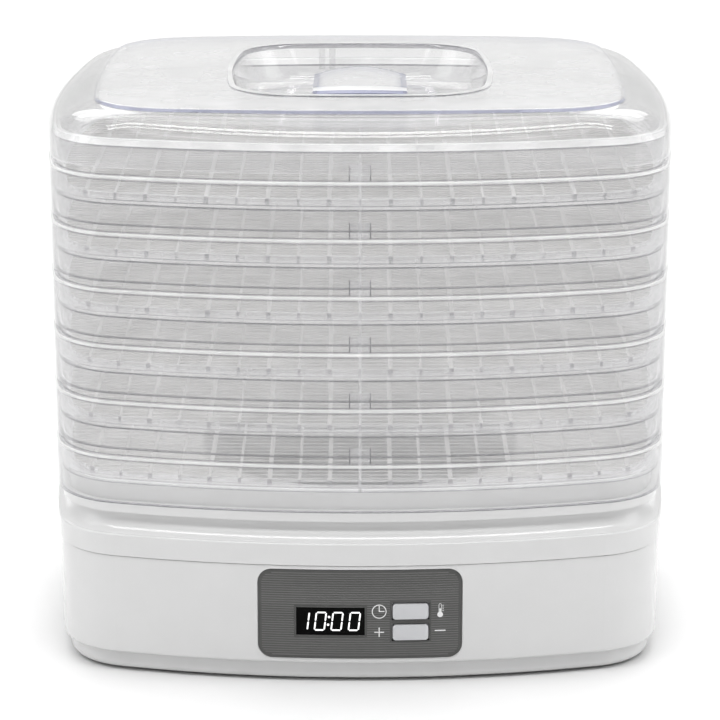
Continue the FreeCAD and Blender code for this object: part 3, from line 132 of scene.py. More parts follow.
class Shape:
    """Collects vertices in mm and faces for one mesh."""

    def __init__(self):
        self.verts = []
        self.faces = []
        self.slots = []

    def add(self, points, faces, slot=0):
        start = len(self.verts)
        self.verts += [tuple(p) for p in points]
        self.faces += [[start + i for i in f] for f in faces]
        self.slots += [slot] * len(faces)

    def loft(self, rings, closed=True, slot=0, cap_first=False, cap_last=False):
        """Joins rings of equally many 3-D points; closed also joins the last ring to the first."""
        n = len(rings[0])
        points = [p for ring in rings for p in ring]
        faces = []
        for j in range(len(rings) if closed else len(rings) - 1):
            a, b = j * n, (j + 1) % len(rings) * n
            for i in range(n):
                k = (i + 1) % n
                faces.append([a + i, a + k, b + k, b + i])
        if cap_first:
            faces.append(list(range(n))[::-1])
        if cap_last:
            faces.append([(len(rings) - 1) * n + i for i in range(n)])
        self.add(points, faces, slot)

    def section(self, profile, level, slot):
        """Carries a closed (inset, z) section round the plan outline."""
        rings = [[(x, y, level + z) for x, y in wall_plan(inset)] for inset, z in profile]
        self.loft(rings, slot=slot)

    def bar(self, start, end, width, low, high, chamfer):
        """Straight bar between two plan points with chamfered long edges."""
        a, b = Vector(start), Vector(end)
        side = Vector((-(b - a).y, (b - a).x)).normalized()
        w, c = width / 2, chamfer
        cross = [(-w, low), (w, low), (w, high - c), (w - c, high), (-w + c, high), (-w, high - c)]
        rings = []
        for p in (a, b):
            rings.append([(p.x + side.x * s, p.y + side.y * s, z) for s, z in cross])
        self.loft(rings, closed=False, cap_first=True, cap_last=True)

    def prism(self, outline, front, back):
        """Thin plate on the bowed front: outline in (x, z), between two insets."""
        n = len(outline)
        near = [(x, face_y(x, front), z) for x, z in outline]
        far = [(x, face_y(x, back), z) for x, z in outline]
        self.loft([near, far], closed=False, cap_first=True, cap_last=True)

    def build(self, name, materials, weld=True):
        """Makes the object; edges sharper than SHARP_ANGLE stay crisp."""
        mesh = bpy.data.meshes.new(name)
        mesh.from_pydata([(x * MM, y * MM, z * MM) for x, y, z in self.verts], [], self.faces)
        for m in materials:
            mesh.materials.append(m)
        for face, slot in zip(mesh.polygons, self.slots):
            face.material_index = slot
            face.use_smooth = True
        work = bmesh.new()
        work.from_mesh(mesh)
        if weld:
            bmesh.ops.remove_doubles(work, verts=work.verts, dist=1e-7)
        bmesh.ops.recalc_face_normals(work, faces=work.faces)
        for edge in work.edges:
            if len(edge.link_faces) == 2 and edge.calc_face_angle(0) > math.radians(SHARP_ANGLE):
                edge.smooth = False
        work.to_mesh(mesh)
        work.free()
        thing = bpy.data.objects.new(name, mesh)
        scene.collection.objects.link(thing)
        return thing


# ------------------------------------------------------------------ materials


class Nodes:
    """A short way to make and link the nodes of one material."""

    def __init__(self, name):
        self.material = bpy.data.materials.new(name)
        self.material.use_nodes = True
        self.tree = self.material.node_tree
        self.tree.nodes.clear()
        self.out = self.new("OutputMaterial")
        self.where = self.new("TexCoord").outputs["Object"]

    def new(self, kind, **values):
        node = self.tree.nodes.new("ShaderNode" + kind)
        for key, value in values.items():
            if key in node.inputs:
                node.inputs[key].default_value = value
            else:
                setattr(node, key, value)
        return node

    def link(self, a, b):
        self.tree.links.new(a, b)

    def noise(self, scale, detail=3.0, rough=0.5, stretch=None):
        tex = self.new("TexNoise", Scale=scale, Detail=detail, Roughness=rough)
        if stretch:
            mapping = self.new("Mapping")
            mapping.inputs["Scale"].default_value = stretch
            self.link(self.where, mapping.inputs["Vector"])
            self.link(mapping.outputs["Vector"], tex.inputs["Vector"])
        else:
            self.link(self.where, tex.inputs["Vector"])
        return tex.outputs["Fac"]

    def span(self, value, low, high, start=0.3, end=0.7):
        node = self.new("MapRange")
        node.inputs["From Min"].default_value = start
        node.inputs["From Max"].default_value = end
        node.inputs["To Min"].default_value = low
        node.inputs["To Max"].default_value = high
        self.link(value, node.inputs["Value"])
        return node.outputs["Result"]

    def blend(self, value, dark, light):
        ramp = self.new("ValToRGB")
        ramp.color_ramp.elements[0].position = 0.3
        ramp.color_ramp.elements[1].position = 0.7
        ramp.color_ramp.elements[0].color = (*dark, 1)
        ramp.color_ramp.elements[1].color = (*light, 1)
        self.link(value, ramp.inputs["Fac"])
        return ramp.outputs["Color"]

    def bump(self, height, depth, strength=1.0):
        node = self.new("Bump", Strength=strength, Distance=depth)
        self.link(height, node.inputs["Height"])
        return node.outputs["Normal"]

    def math(self, kind, a, b):
        node = self.new("Math", operation=kind)
        for socket, value in zip(node.inputs, (a, b)):
            if isinstance(value, (int, float)):
                socket.default_value = value
            else:
                self.link(value, socket)
        return node.outputs[0]


def shell(name, colour, spread, rough, grain, depth, metal=0.0, coat=0.0, ior=1.47, stretch=None):
    """Moulded or plated surface: colour, roughness and fine relief all vary with noise."""
    n = Nodes(name)
    body = n.new("BsdfPrincipled", Metallic=metal, IOR=ior)
    body.inputs["Coat Weight"].default_value = coat
    body.inputs["Coat Roughness"].default_value = 0.12
    broad = n.noise(grain * 0.06, 2.0, stretch=stretch)
    fine = n.noise(grain, 4.0, 0.6, stretch)
    dark = tuple(max(c - spread, 0) for c in colour)
    light = tuple(min(c + spread, 1) for c in colour)
    n.link(n.blend(broad, dark, light), body.inputs["Base Color"])
    n.link(n.span(fine, rough * 0.85, rough * 1.15), body.inputs["Roughness"])
    n.link(n.bump(fine, depth), body.inputs["Normal"])
    n.link(body.outputs[0], n.out.inputs["Surface"])
    return n.material


CLEAR_ROUGH, CLEAR_IOR, RIM_POWER = 0.05, 1.49, 3.0


def clear(name, tint, haze, rim, milk=0.58):
    """Clear moulded plastic: sees through, turns milky where it is seen edge on."""
    n = Nodes(name)
    through = n.new("BsdfTransparent")
    through.inputs["Color"].default_value = (*tint, 1)
    milky = n.new("BsdfDiffuse")
    lit = n.new("BsdfTranslucent")
    cloud = n.noise(55.0, 1.0)
    pale = n.blend(cloud, (milk * 0.94,) * 3, (milk * 1.05,) * 3)
    n.link(pale, milky.inputs["Color"])
    n.link(pale, lit.inputs["Color"])
    both = n.new("MixShader", Fac=0.5)
    n.link(milky.outputs[0], both.inputs[1])
    n.link(lit.outputs[0], both.inputs[2])
    gloss = n.new("BsdfGlossy")
    gloss.inputs["Color"].default_value = (1, 1, 1, 1)
    n.link(n.span(cloud, CLEAR_ROUGH * 0.7, CLEAR_ROUGH * 1.3), gloss.inputs["Roughness"])
    n.link(n.bump(n.noise(30.0, 0.0), 0.0001, 0.15), gloss.inputs["Normal"])
    weight = n.new("LayerWeight")
    weight.inputs["Blend"].default_value = 0.5
    edge = n.math("MULTIPLY", n.math("POWER", weight.outputs["Facing"], RIM_POWER), rim)
    amount = n.math("ADD", n.span(cloud, haze * 0.94, haze * 1.06), edge)
    inner = n.new("MixShader")
    n.link(n.math("MINIMUM", amount, 1.0), inner.inputs[0])
    n.link(through.outputs[0], inner.inputs[1])
    n.link(both.outputs[0], inner.inputs[2])
    normal_part = ((CLEAR_IOR - 1) / (CLEAR_IOR + 1)) ** 2
    grazing = n.math("MULTIPLY", n.math("POWER", weight.outputs["Facing"], 5.0), 1 - normal_part)
    outer = n.new("MixShader")
    n.link(n.math("ADD", grazing, normal_part), outer.inputs[0])
    n.link(inner.outputs[0], outer.inputs[1])
    n.link(gloss.outputs[0], outer.inputs[2])
    n.link(outer.outputs[0], n.out.inputs["Surface"])
    return n.material


def glow(name, colour, strength):
    """Lit display segments, their brightness varying a little with noise."""
    n = Nodes(name)
    light = n.new("Emission")
    n.link(n.blend(n.noise(1500.0), tuple(c * 0.9 for c in colour), colour), light.inputs["Color"])
    light.inputs["Strength"].default_value = strength
    n.link(light.outputs[0], n.out.inputs["Surface"])
    return n.material


BRUSHED = (0.06, 1, 1)

finish = {
    "white_shell": shell("white_shell", (0.64, 0.64, 0.64), 0.008, 0.24, 900.0, 0.000015, coat=0.5),
    "panel_grey": shell("panel_grey", (0.064, 0.064, 0.062), 0.006, 0.45, 1200.0, 0.00002, stretch=BRUSHED),
    "display_black": shell("display_black", (0.002, 0.002, 0.002), 0.001, 0.12, 600.0, 0.000004, ior=1.12),
    "button_grey": shell("button_grey", (0.56, 0.565, 0.58), 0.01, 0.34, 1100.0, 0.00002, metal=0.15),
    "black_plastic": shell("black_plastic", (0.018, 0.018, 0.019), 0.005, 0.42, 1000.0, 0.00003),
    "foot_rubber": shell("foot_rubber", (0.04, 0.04, 0.04), 0.01, 0.75, 700.0, 0.00006),
    "steel": shell("steel", (0.55, 0.55, 0.55), 0.05, 0.28, 1400.0, 0.00002, metal=1.0),
    "sheet_metal": shell("sheet_metal", (0.60, 0.61, 0.62), 0.06, 0.34, 260.0, 0.00003, metal=1.0),
    "mica": shell("mica", (0.50, 0.44, 0.32), 0.06, 0.55, 400.0, 0.00005),
    "heating_wire": shell("heating_wire", (0.32, 0.26, 0.22), 0.05, 0.45, 900.0, 0.00003, metal=1.0),
    "motor_iron": shell("motor_iron", (0.12, 0.12, 0.14), 0.02, 0.40, 900.0, 0.00003, metal=0.6),
    "circuit_green": shell("circuit_green", (0.02, 0.15, 0.06), 0.02, 0.35, 500.0, 0.00003),
    "component_dark": shell("component_dark", (0.03, 0.03, 0.035), 0.01, 0.45, 700.0, 0.00003),
    "cable_grey": shell("cable_grey", (0.35, 0.35, 0.37), 0.03, 0.5, 500.0, 0.00003),
    "clear_plastic": clear("clear_plastic", (0.952, 0.952, 0.953), 0.02, 0.60),
}
# A milkier clear for ledges and edges: the extra milk is a painted pale sheen, as if those faces caught the
# light from above.
clear_painted_sheen = clear("clear_painted_sheen", (0.92, 0.92, 0.925), 0.16, 0.5, milk=0.70)
# A near-white clear that paints a highlight line along roundings, the lid's seat band, the bowl's rim and the
# grip's front edge.
clear_painted_highlight = clear("clear_painted_highlight", (0.97, 0.97, 0.97), 0.62, 0.3, milk=0.90)
clear_grid = clear("clear_grid", (0.84, 0.835, 0.83), 0.34, 0.4, milk=0.68)
# A dark-tinted clear that paints dark lines of shade on the small roundings and end faces.
clear_painted_dark_line = clear("clear_painted_dark_line", (0.56, 0.56, 0.58), 0.10, 0.3, milk=0.5)
# A milkier clear for upward faces: a painted pale sheen, as if the flat tops caught the light from above.
clear_painted_top_sheen = clear("clear_painted_top_sheen", (0.962, 0.962, 0.965), 0.22, 0.5, milk=0.78)
clear_blue = clear("clear_blue", (0.50, 0.52, 0.68), 0.16, 0.3, milk=0.6)
panel_ridge = shell("panel_ridge", (0.125, 0.125, 0.122), 0.01, 0.40, 1200.0, 0.00002, stretch=BRUSHED)
legend = shell("legend_white", (0.80, 0.80, 0.80), 0.01, 0.5, 900.0, 0.00001)
digits_lit = glow("digits_lit", (1.0, 1.0, 1.0), 1.6)

for part in frame["record"]["subparts"]:
    node = frame["nodes"][part["node"]]
    node.data.materials.clear()
    node.data.materials.append(finish[part["material_slot"]])

for name in ("mode_button", "adjust_button"):
    join = frame["nodes"][name].modifiers.new("join", "WELD")
    join.merge_threshold = 0.01 * MM
    soft = frame["nodes"][name].modifiers.new("soft_edge", "BEVEL")
    soft.width = 0.55 * MM
    soft.segments = 3
    soft.limit_method = "ANGLE"
    soft.angle_limit = math.radians(50)
    soft.harden_normals = True

# ------------------------------------------------------------------ trays

RING_SECTION = rounded([
    (0.0, -10.4, 0.7), (0.0, 13.6, 1.0), (3.3, 13.6, 0.5), (3.3, 27.7, 0.7), (5.3, 27.7, 0.7),
    (5.3, 11.6, 0.5), (2.1, 11.6, 0.6), (2.1, 1.7, 0.4), (9.0, 1.7, 0.3), (9.0, 0.1, 0.3),
    (2.1, 0.1, 0.4), (2.1, -10.4, 0.7),
])


RIBS, RIB_PITCH = 21, 14.7
SLATS, SLAT_PITCH = 41, 6.0
FLOOR_INSET = 8.0
FLOOR_RIM = rounded([(5.7, 1.8, 0.4), (5.7, 4.4, 0.4), (8.4, 4.4, 0.4), (8.4, 1.8, 0.4)], 2)


def ring(level):
    """Clear wall of one tray, with its skirt, ledge and upstand, and ribs at front and back."""
    shape = Shape()
    rings = [[(x, y, level + z) for x, y in wall_plan(inset)] for inset, z in RING_SECTION]
    count = len(rings)
    for j in range(count):
        (i0, z0), (i1, z1) = RING_SECTION[j], RING_SECTION[(j + 1) % count]
        long = math.hypot(i1 - i0, z1 - z0) > 0.9
        upright = abs(z1 - z0) > abs(i1 - i0)
        # Long upright faces stay clear, long flat ones get the painted pale sheen, short roundings a painted
        # dark line, and the upper outer roundings a painted highlight.
        look = (0 if upright else 1) if long else 2
        if not long and z0 > 12 and i0 < 1.2:
            look = 3
        shape.loft([rings[j], rings[(j + 1) % count]], closed=False, slot=look)
    # The ribs take the painted pale sheen, the two thin ones beside the middle rib a painted dark line.
    for sign in (-1, 1):
        for x, wide, low, high, near, far, look in (
                (0.0, 1.5, 0.4, 13.0, -0.25, 0.6, 1),
                (0.0, 1.4, 13.9, 25.5, 2.3, 3.4, 1),
                (0.0, 9.4, 13.9, 21.5, 2.7, 3.5, 1),
                (-5.0, 0.6, 13.9, 21.5, 2.5, 3.5, 2),
                (5.0, 0.6, 13.9, 21.5, 2.5, 3.5, 2)):
            rib = [(x - wide / 2, low), (x + wide / 2, low), (x + wide / 2, high), (x - wide / 2, high)]
            a = [(px, sign * -face_y(px, near), level + pz) for px, pz in rib]
            b = [(px, sign * -face_y(px, far), level + pz) for px, pz in rib]
            shape.loft([a, b], closed=False, slot=look, cap_first=True, cap_last=True)
    return shape


def floor_grid(level):
    """Open floor of one tray: a rim, ribs from front to back and finer slats across them."""
    shape = Shape()
    # The floor's rim gets the painted pale sheen.
    shape.section(FLOOR_RIM, level, 1)
    for k in range(RIBS):
        x = (k - (RIBS - 1) / 2) * RIB_PITCH
        if abs(x) > HALF_W - 12:
            continue
        reach = reach_at(x, FLOOR_INSET, True)
        wide = 2.2 if k % 2 else 1.4
        shape.bar((x, -reach), (x, reach), wide, level + 1.2, level + 4.3, 0.3)
        # The rib's two end faces get the painted dark line.
        shape.slots[-2:] = [2, 2]
    for k in range(SLATS):
        y = (k - (SLATS - 1) / 2) * SLAT_PITCH
        reach = reach_at(y, FLOOR_INSET, False)
        if reach < 5:
            continue
        shape.bar((-reach, y), (reach, y), 1.5, level + 2.6, level + 4.2, 0.3)
    return shape


# In both lists slot 1 is the painted pale sheen and slot 2 the painted dark line; the ring's slot 3 is the
# painted highlight.
ring_materials = [finish["clear_plastic"], clear_painted_sheen, clear_painted_dark_line, clear_painted_highlight]
floor_materials = [clear_grid, clear_painted_sheen, clear_painted_dark_line]
for number in range(TRAYS, 0, -1):
    level = FIRST_TRAY + PITCH * (TRAYS - number)
    body = f"tray_{number}"
    wall = ring(level).build(f"tray_{number}_ring", ring_materials)
    wall.visible_shadow = False
    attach(wall, body)
    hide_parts(f"tray_{number}_wall")
    grid = floor_grid(level).build(f"tray_{number}_mesh_floor", floor_materials, weld=False)
    grid.visible_shadow = False
    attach(grid, body)
    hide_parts(f"tray_{number}_grid")

# ------------------------------------------------------------------ lid

LID_FOOT = FIRST_TRAY + PITCH * TRAYS - 10.4
LID_SHOULDER, LID_TOP = 264.0, 284.2
TOP_FRONT, TOP_SIDE = 17.0, 28.5
WALL = 2.0
LID_SWEEP, LID_STEPS, LID_RISE = 82, 12, 18.3
# Rings round the flat top's edge as (grow, z, slot): slot 4 paints a dark line, slot 2 is blue-tinted, slot 3
# paints a pale sheen.
LID_EDGE = ((0.012, 282.35, 4), (0.024, 282.6, 2), (0.030, 283.85, 2), (0.045, 284.1, 3), (0.085, 284.2, 3))
BOWL_RIM = 2.2


def lid_ring(t, z, thin=0.0):
    """Outline between the wall, t = 0, and the flat top's edge, t = 1."""
    half_w = HALF_W - TOP_SIDE * t - thin
    half_d = HALF_D - TOP_FRONT * t - thin
    return [(x, y, z) for x, y in plan(half_w, half_d, FRONT_R + 326 * t - thin,
                                      SIDE_R + 452 * t - thin, CORNER_R - 2 * t - thin)]


def bowl_ring(drop, z, grow=0.0):
    """Outline of the bowl between its rim, drop = 0, and its floor, drop = 1."""
    half_w = 65.5 - 8.0 * drop + grow
    half_d = 79.5 - 9.5 * drop + grow
    points = plan(half_w, half_d, 420 - 90 * drop + grow, 420 - 90 * drop + grow, 33.0 + 4.0 * drop + grow)
    return [(x, y + 1.0 + 3.0 * drop, z) for x, y in points]


def lid():
    """Dome with its flat top, the opening for the bowl, the seat inside and the foot of its wall."""
    shape = Shape()
    outer = [(lid_ring(0.0, LID_FOOT + 0.7), 0), (lid_ring(0.0, LID_SHOULDER), 0)]
    angles = [math.radians(LID_SWEEP) * k / LID_STEPS for k in range(1, LID_STEPS + 1)]
    for t in angles:
        outer.append((lid_ring(1 - math.cos(t), LID_SHOULDER + LID_RISE * math.sin(t)), 0))
    last = 1 - math.cos(angles[-1])
    for grow, z, slot in LID_EDGE:
        outer.append((lid_ring(last + grow, z), slot))
    # The flat top and its underside get the painted top sheen.
    outer.append((bowl_ring(0, LID_TOP + 0.15, BOWL_RIM), 1))
    inner = [(bowl_ring(0, LID_TOP - WALL, BOWL_RIM), 1), (lid_ring(last + 0.02, LID_TOP - WALL, WALL), 1)]
    for t in reversed(angles):
        inner.append((lid_ring(1 - math.cos(t), LID_SHOULDER + (LID_RISE - WALL) * math.sin(t), WALL), 0))
    inner.append((lid_ring(0.0, 270.0, WALL), 0))
    rings = outer + inner
    for (a, _), (b, slot) in zip(rings, rings[1:]):
        shape.loft([a, b], closed=False, slot=slot)
    # The seat band inside paints a white highlight.
    seat = rounded([(WALL, 270.0, 0.3), (6.0, 270.0, 0.6), (6.0, 266.7, 0.6), (WALL, 266.7, 0.3)], 3)
    shape.section(seat, 0.0, 5)
    # The foot of the wall gets the painted pale sheen.
    shape.loft([rings[-1][0], lid_ring(0.0, LID_FOOT + 0.6, WALL), lid_ring(0.0, LID_FOOT, WALL - 0.6),
                lid_ring(0.0, LID_FOOT, 0.6), rings[0][0]], closed=False, slot=3)
    return shape


def bowl():
    """Recessed bowl with two small ribs on its rear wall; its rings are (drop, z, grow, slot)."""
    shape = Shape()
    # The rim's rounding paints a highlight on top (slot 3) between painted dark lines (slot 2).
    inside = [(0, 284.2, BOWL_RIM, 0), (0, 284.9, BOWL_RIM - 0.1, 2), (0, 285.35, BOWL_RIM - 0.5, 3),
              (0, 285.45, BOWL_RIM - 1.2, 3), (0, 285.3, -0.6, 3), (0, 284.7, -1.1, 2),
              (0.08, 283.0, -1.0, 2), (0.62, 271.0, 0, 0), (0.68, 269.2, 0, 0), (0.80, 267.4, 0, 0),
              (1.0, 266.3, 0, 0), (1.25, 266.0, 0, 0)]
    outside = [(1.25, 264.2, 0, 0), (1.0, 264.4, 1.2, 0), (0.80, 265.6, 1.6, 0), (0.66, 267.8, 1.8, 0),
               (0.60, 270.2, 1.8, 0), (0.08, 282.0, 1.2, 0), (0, 284.2, 1.2, 0), (0, 284.2, BOWL_RIM, 0)]
    for side in (inside, outside):
        rings = [(bowl_ring(d, z, g), slot) for d, z, g, slot in side]
        for (first, _), (second, slot) in zip(rings, rings[1:]):
            shape.loft([first, second], closed=False, slot=slot)
    for drop, z in ((1.25, 266.0), (1.25, 264.2)):
        shape.add(bowl_ring(drop, z), [list(range(4 * (SIDE_STEPS + CORNER_STEPS + FRONT_STEPS)))])
    for x in (-20.3, -14.8):
        shape.bar((x, 78.9), (x, 82.3), 3.4, 271.5, 283.0, 0.2)
    return shape


GRIP_HALF, GRIP_FRONT, GRIP_REAR, GRIP_TOP = 23.5, -37.0, 36.0, 281.2


def grip_row(x_part, thin):
    """Front-to-back line of the grip's top at x_part of its half width."""
    half = GRIP_HALF - thin
    bulge = 1 - x_part * x_part
    front = GRIP_FRONT + thin
    rear = GRIP_REAR - 13.0 * (1 - bulge) - thin
    line = []
    for k in range(13):
        part = k / 12
        y = front + (rear - front) * part
        ends = min(part, 1 - part) * 12
        drop = 0.0 if ends >= 1 else 0.9 * (1 - ends) ** 2
        crown = (0.5 + 1.9 * part) * (x_part * x_part)
        line.append((half * x_part, y, GRIP_TOP - thin - crown - drop))
    return line


def grip():
    """Hollow grip that rises from the bowl's floor, with a crowned top and a rounded rear end."""
    shape = Shape()
    across = 16
    for thin in (0.0, 1.8):
        rows = [grip_row(-1 + 2 * i / across, thin) for i in range(across + 1)]
        count = len(rows[0])
        faces = []
        looks = []
        for i in range(across):
            for k in range(count - 1):
                a, b = i * count + k, (i + 1) * count + k
                faces.append([a, b, b + 1, a + 1])
                # The front row paints a highlight, the side columns are blue-tinted and the rest of the top
                # gets the painted top sheen.
                looks.append(3 if k == 0 else 1 if i in (0, across - 1) else 2)
        shape.add([p for row in rows for p in row], faces)
        shape.slots[-len(looks):] = looks
        rim = [row[0] for row in rows] + rows[-1][1:] + [row[-1] for row in rows[-2::-1]] + rows[0][-2:0:-1]
        spread = [(x * 1.02, y + (0.7 if y > 0 else -0.7), 265.9) for x, y, z in rim]
        shoulder = [(x * 1.006, y + (0.25 if y > 0 else -0.25), z - 2.0) for x, y, z in rim]
        shape.loft([rim, shoulder], closed=False, slot=1)
        shape.loft([shoulder, spread], closed=False, slot=0)
    return shape


# Slot 1 paints a top sheen, 3 a pale sheen, 4 dark lines and 5 a highlight; slot 2 is blue-tinted clear.
lid_materials = [finish["clear_plastic"], clear_painted_top_sheen, clear_blue, clear_painted_sheen, clear_painted_dark_line, clear_painted_highlight]
dome = lid().build("lid_dome", lid_materials)
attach(dome, "lid")
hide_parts("lid_cover")
# The well's slot 2 paints dark lines and slot 3 a highlight; the grip's slot 2 paints a top sheen and slot 3
# a highlight.
well = bowl().build("lid_well", [finish["clear_plastic"], clear_painted_sheen, clear_painted_dark_line, clear_painted_highlight])
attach(well, "lid")
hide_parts("lid_bowl")
handle = grip().build("lid_grip", [finish["clear_plastic"], clear_blue, clear_painted_top_sheen, clear_painted_highlight])
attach(handle, "lid")
for piece in (dome, well, handle):
    piece.visible_shadow = False

# ------------------------------------------------------------------ panel details

PANEL_X, PANEL_LOW, PANEL_HIGH = 50.0, 13.8, 59.4
WINDOW = (-14.5, 33.0, 33.5, 14.2)
BUTTONS = ((24.8, 38.1), (24.8, 27.3))


def panel_lines():
    """Fine raised lines across the fascia, broken at the window and the buttons."""
    shape = Shape()
    pitch = 1.2
    border = 1.7
    round_r = 5.0
    low, high = PANEL_LOW + border, PANEL_HIGH - border
    count = int((high - low) / pitch)
    for k in range(count + 1):
        z = low + (high - low) * k / count
        half = PANEL_X - border
        for edge in (z - low, high - z):
            if edge < round_r:
                half = min(half, PANEL_X - border - round_r + math.sqrt(round_r ** 2 - (round_r - edge) ** 2))
        gaps = []
        if abs(z - WINDOW[1]) < WINDOW[3] / 2 + 1.3:
            gaps.append((WINDOW[0] - WINDOW[2] / 2 - 1.2, WINDOW[0] + WINDOW[2] / 2 + 1.2))
        for bx, bz in BUTTONS:
            if abs(z - bz) < 5.4:
                gaps.append((bx - 10.2, bx + 10.2))
        gaps = sorted(set(gaps))
        start = -half
        spans = []
        for a, b in gaps:
            spans.append((start, a))
            start = b
        spans.append((start, half))
        for a, b in spans:
            steps = max(2, int((b - a) / 5))
            rows = []
            for i in range(steps + 1):
                x = a + (b - a) * i / steps
                foot, crest = face_y(x, 0.93), face_y(x, 0.78)
                rows.append([(x, foot, z - 0.33), (x, crest, z), (x, foot, z + 0.33)])
            shape.loft(rows, closed=False, cap_first=True, cap_last=True)
    return shape


LEGEND = (0.78, 0.9)
LIT = (0.98, 1.08)


def stroke(shape, points, wide, closed=False):
    """A line of constant width through (x, z) points."""
    pts = [Vector(p) for p in points]
    count = len(pts)
    left, right = [], []
    for i, p in enumerate(pts):
        before = pts[i - 1] if i or closed else p
        after = pts[(i + 1) % count] if i < count - 1 or closed else p
        d = (after - before).normalized()
        nrm = Vector((-d.y, d.x)) * wide / 2
        left.append(p + nrm)
        right.append(p - nrm)
    pairs = range(count if closed else count - 1)
    for i in pairs:
        k = (i + 1) % count
        shape.prism([left[i], left[k], right[k], right[i]], *LEGEND)


def circle(x, z, r, count=28):
    turns = [2 * math.pi * i / count for i in range(count)]
    return [(x + r * math.cos(t), z + r * math.sin(t)) for t in turns]


def symbols():
    """Clock and plus left of the buttons, thermometer and minus right of them."""
    shape = Shape()
    stroke(shape, circle(9.4, 38.1, 3.4), 0.42, closed=True)
    stroke(shape, [(9.4, 41.0), (9.4, 38.0)], 0.46)
    stroke(shape, [(9.2, 38.2), (12.0, 38.2)], 0.46)
    stroke(shape, [(7.0, 27.4), (11.8, 27.4)], 0.5)
    stroke(shape, [(9.4, 25.0), (9.4, 29.8)], 0.5)
    stroke(shape, [(36.7, 27.8), (42.0, 27.8)], 0.55)
    shape.prism(circle(39.3, 36.1, 1.4, 20), *LEGEND)
    shape.prism([(38.95, 36.5), (39.65, 36.5), (39.65, 39.2), (38.95, 39.2)], *LEGEND)
    stem = [(38.7, 37.2), (38.7, 41.0), (38.85, 41.5), (39.3, 41.75),
            (39.75, 41.5), (39.9, 41.0), (39.9, 37.2)]
    stroke(shape, stem, 0.22)
    for k in range(4):
        stroke(shape, [(40.3, 38.0 + 0.95 * k), (41.1, 38.0 + 0.95 * k)], 0.24)
    return shape


def bezel():
    """Raised frame round the display window."""
    shape = Shape()
    wide, tall = WINDOW[2] / 2 + 0.5, WINDOW[3] / 2 + 0.5
    frame_line = [(WINDOW[0] - wide, WINDOW[1] - tall), (WINDOW[0] + wide, WINDOW[1] - tall),
                  (WINDOW[0] + wide, WINDOW[1] + tall), (WINDOW[0] - wide, WINDOW[1] + tall)]
    for i in range(4):
        (xa, za), (xb, zb) = frame_line[i], frame_line[(i + 1) % 4]
        steps = 6 if za == zb else 1
        grow = 0.4
        for k in range(steps):
            x0, x1 = xa + (xb - xa) * k / steps, xa + (xb - xa) * (k + 1) / steps
            z0, z1 = za + (zb - za) * k / steps, za + (zb - za) * (k + 1) / steps
            if za == zb:
                outline = [(x0, z0 - grow), (x1, z1 - grow), (x1, z1 + grow), (x0, z0 + grow)]
            else:
                outline = [(x0 - grow, z0), (x1 - grow, z1), (x1 + grow, z1), (x0 + grow, z0)]
            shape.prism(outline, 0.72, 0.95)
    return shape


SEGMENTS = {"0": "abcdef", "1": "bc"}


SLANT, THICK = 0.12, 0.72


def digit(shape, text, x, z, wide, tall):
    """Seven-segment digit with its lower left corner at (x, z)."""
    h = tall / 2
    t = THICK / 2
    gap = 0.18
    ends = {
        "a": ((0, tall), (wide, tall)), "b": ((wide, tall), (wide, h)), "c": ((wide, h), (wide, 0)),
        "d": ((wide, 0), (0, 0)), "e": ((0, 0), (0, h)), "f": ((0, h), (0, tall)),
    }
    for key in SEGMENTS[text]:
        a, b = Vector(ends[key][0]), Vector(ends[key][1])
        d = (b - a).normalized()
        nrm = Vector((-d.y, d.x)) * t
        p, q = a + d * gap, b - d * gap
        outline = [p, p + d * t + nrm, q - d * t + nrm, q, q - d * t - nrm, p + d * t - nrm]
        shape.prism([(x + v.x + v.y * SLANT, z + v.y) for v in outline], *LIT)


def readout():
    """Three noughts, a one and a colon on the display."""
    shape = Shape()
    low, tall, wide = 28.4, 9.1, 4.8
    for text, x in (("1", -30.7), ("0", -22.4), ("0", -14.2), ("0", -5.7)):
        digit(shape, text, x, low, wide, tall)
    for z in (31.2, 35.2):
        shape.prism(circle(-16.0 + (z - low) * SLANT, z, 0.6, 16), *LIT)
    return shape


for name, maker, material, slot in (
        ("panel_lines", panel_lines, panel_ridge, "panel_grey"),
        ("window_bezel", bezel, finish["panel_grey"], "panel_grey"),
        ("panel_symbols", symbols, legend, "white_shell"),
        ("display_digits", readout, digits_lit, "display_black")):
    piece = maker().build(name, [material], weld=False)
    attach(piece, "base")

# ------------------------------------------------------------------ floor, light, camera


def area(name, place, aim, size, energy):
    lamp = bpy.data.lights.new(name, "AREA")
    lamp.shape = "RECTANGLE"
    lamp.size, lamp.size_y = size
    lamp.energy = energy
    thing = bpy.data.objects.new(name, lamp)
    thing.location = place
    thing.rotation_euler = (Vector(aim) - Vector(place)).to_track_quat("-Z", "Y").to_euler()
    scene.collection.objects.link(thing)


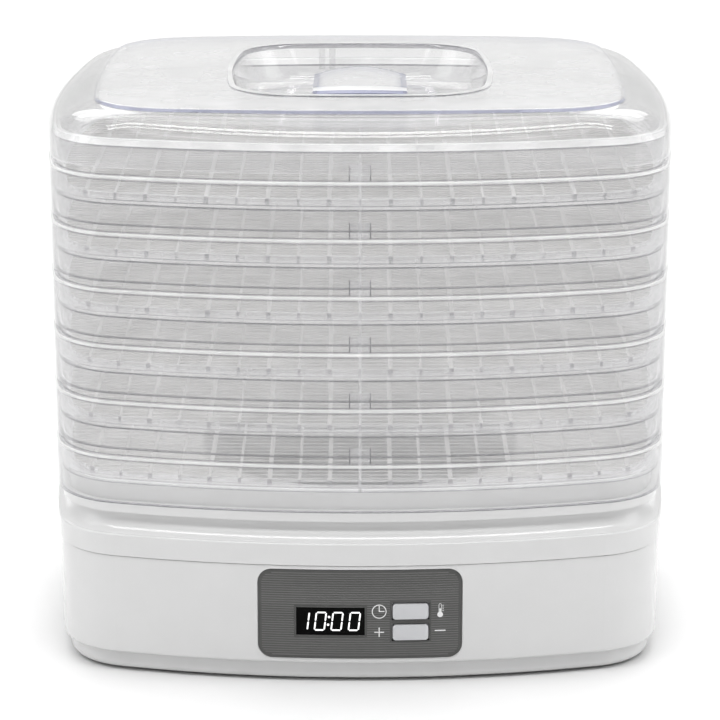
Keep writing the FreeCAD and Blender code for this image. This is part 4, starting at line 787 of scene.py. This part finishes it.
ground = Shape()
ground.add([(-6000, -6000, 0), (6000, -6000, 0), (6000, 6000, 0), (-6000, 6000, 0)], [[0, 1, 2, 3]])
floor_finish = shell("floor_pale", (0.80, 0.80, 0.80), 0.004, 0.7, 60.0, 0.00001)
floor = ground.build("floor", [floor_finish])
floor.location.z = -0.0002

world = bpy.data.worlds.new("studio")
scene.world = world
world.use_nodes = True
sky = world.node_tree
backdrop = sky.nodes["Background"]
direction = sky.nodes.new("ShaderNodeTexCoord")
parts = sky.nodes.new("ShaderNodeSeparateXYZ")
fade = sky.nodes.new("ShaderNodeMapRange")
fade.inputs["From Min"].default_value = -0.9
fade.inputs["From Max"].default_value = 0.2
fade.inputs["To Min"].default_value = 0.23
fade.inputs["To Max"].default_value = 0.75
sky.links.new(direction.outputs["Generated"], parts.inputs[0])
sky.links.new(parts.outputs["Y"], fade.inputs["Value"])
sky.links.new(fade.outputs["Result"], backdrop.inputs["Strength"])
backdrop.inputs["Color"].default_value = (1, 1, 1, 1)

middle = (0, 0, 0.13)
area("key_strip", (0, -1.0, 1.9), middle, (3.2, 0.25), 26)
area("front_soft", (0, -2.4, 1.75), middle, (3.0, 0.6), 8.5)
area("overhead", (0, 0.4, 2.3), middle, (2.2, 1.6), 19)
area("floor_wash", (0, 2.8, 2.2), (0, 2.1, 0), (4.0, 1.6), 44)
area("left_soft", (-1.7, -0.35, 0.8), middle, (0.9, 1.4), 5)
area("right_soft", (1.7, -0.15, 0.8), middle, (0.9, 1.4), 5.5)

lens = bpy.data.cameras.new("photo_view")
lens.lens = 151.6
lens.sensor_width = 36.0
lens.clip_start, lens.clip_end = 0.05, 50.0
eye = bpy.data.objects.new("photo_view", lens)
eye.location = (0, -1.5332, 0.5398)
eye.rotation_euler = (math.radians(90 - 14.93), 0, 0)
scene.collection.objects.link(eye)
scene.camera = eye
scene.view_settings.view_transform = "Standard"
scene.cycles.transparent_max_bounces = 64
scene.cycles.max_bounces = 8
scene.cycles.diffuse_bounces = 3
scene.cycles.glossy_bounces = 3
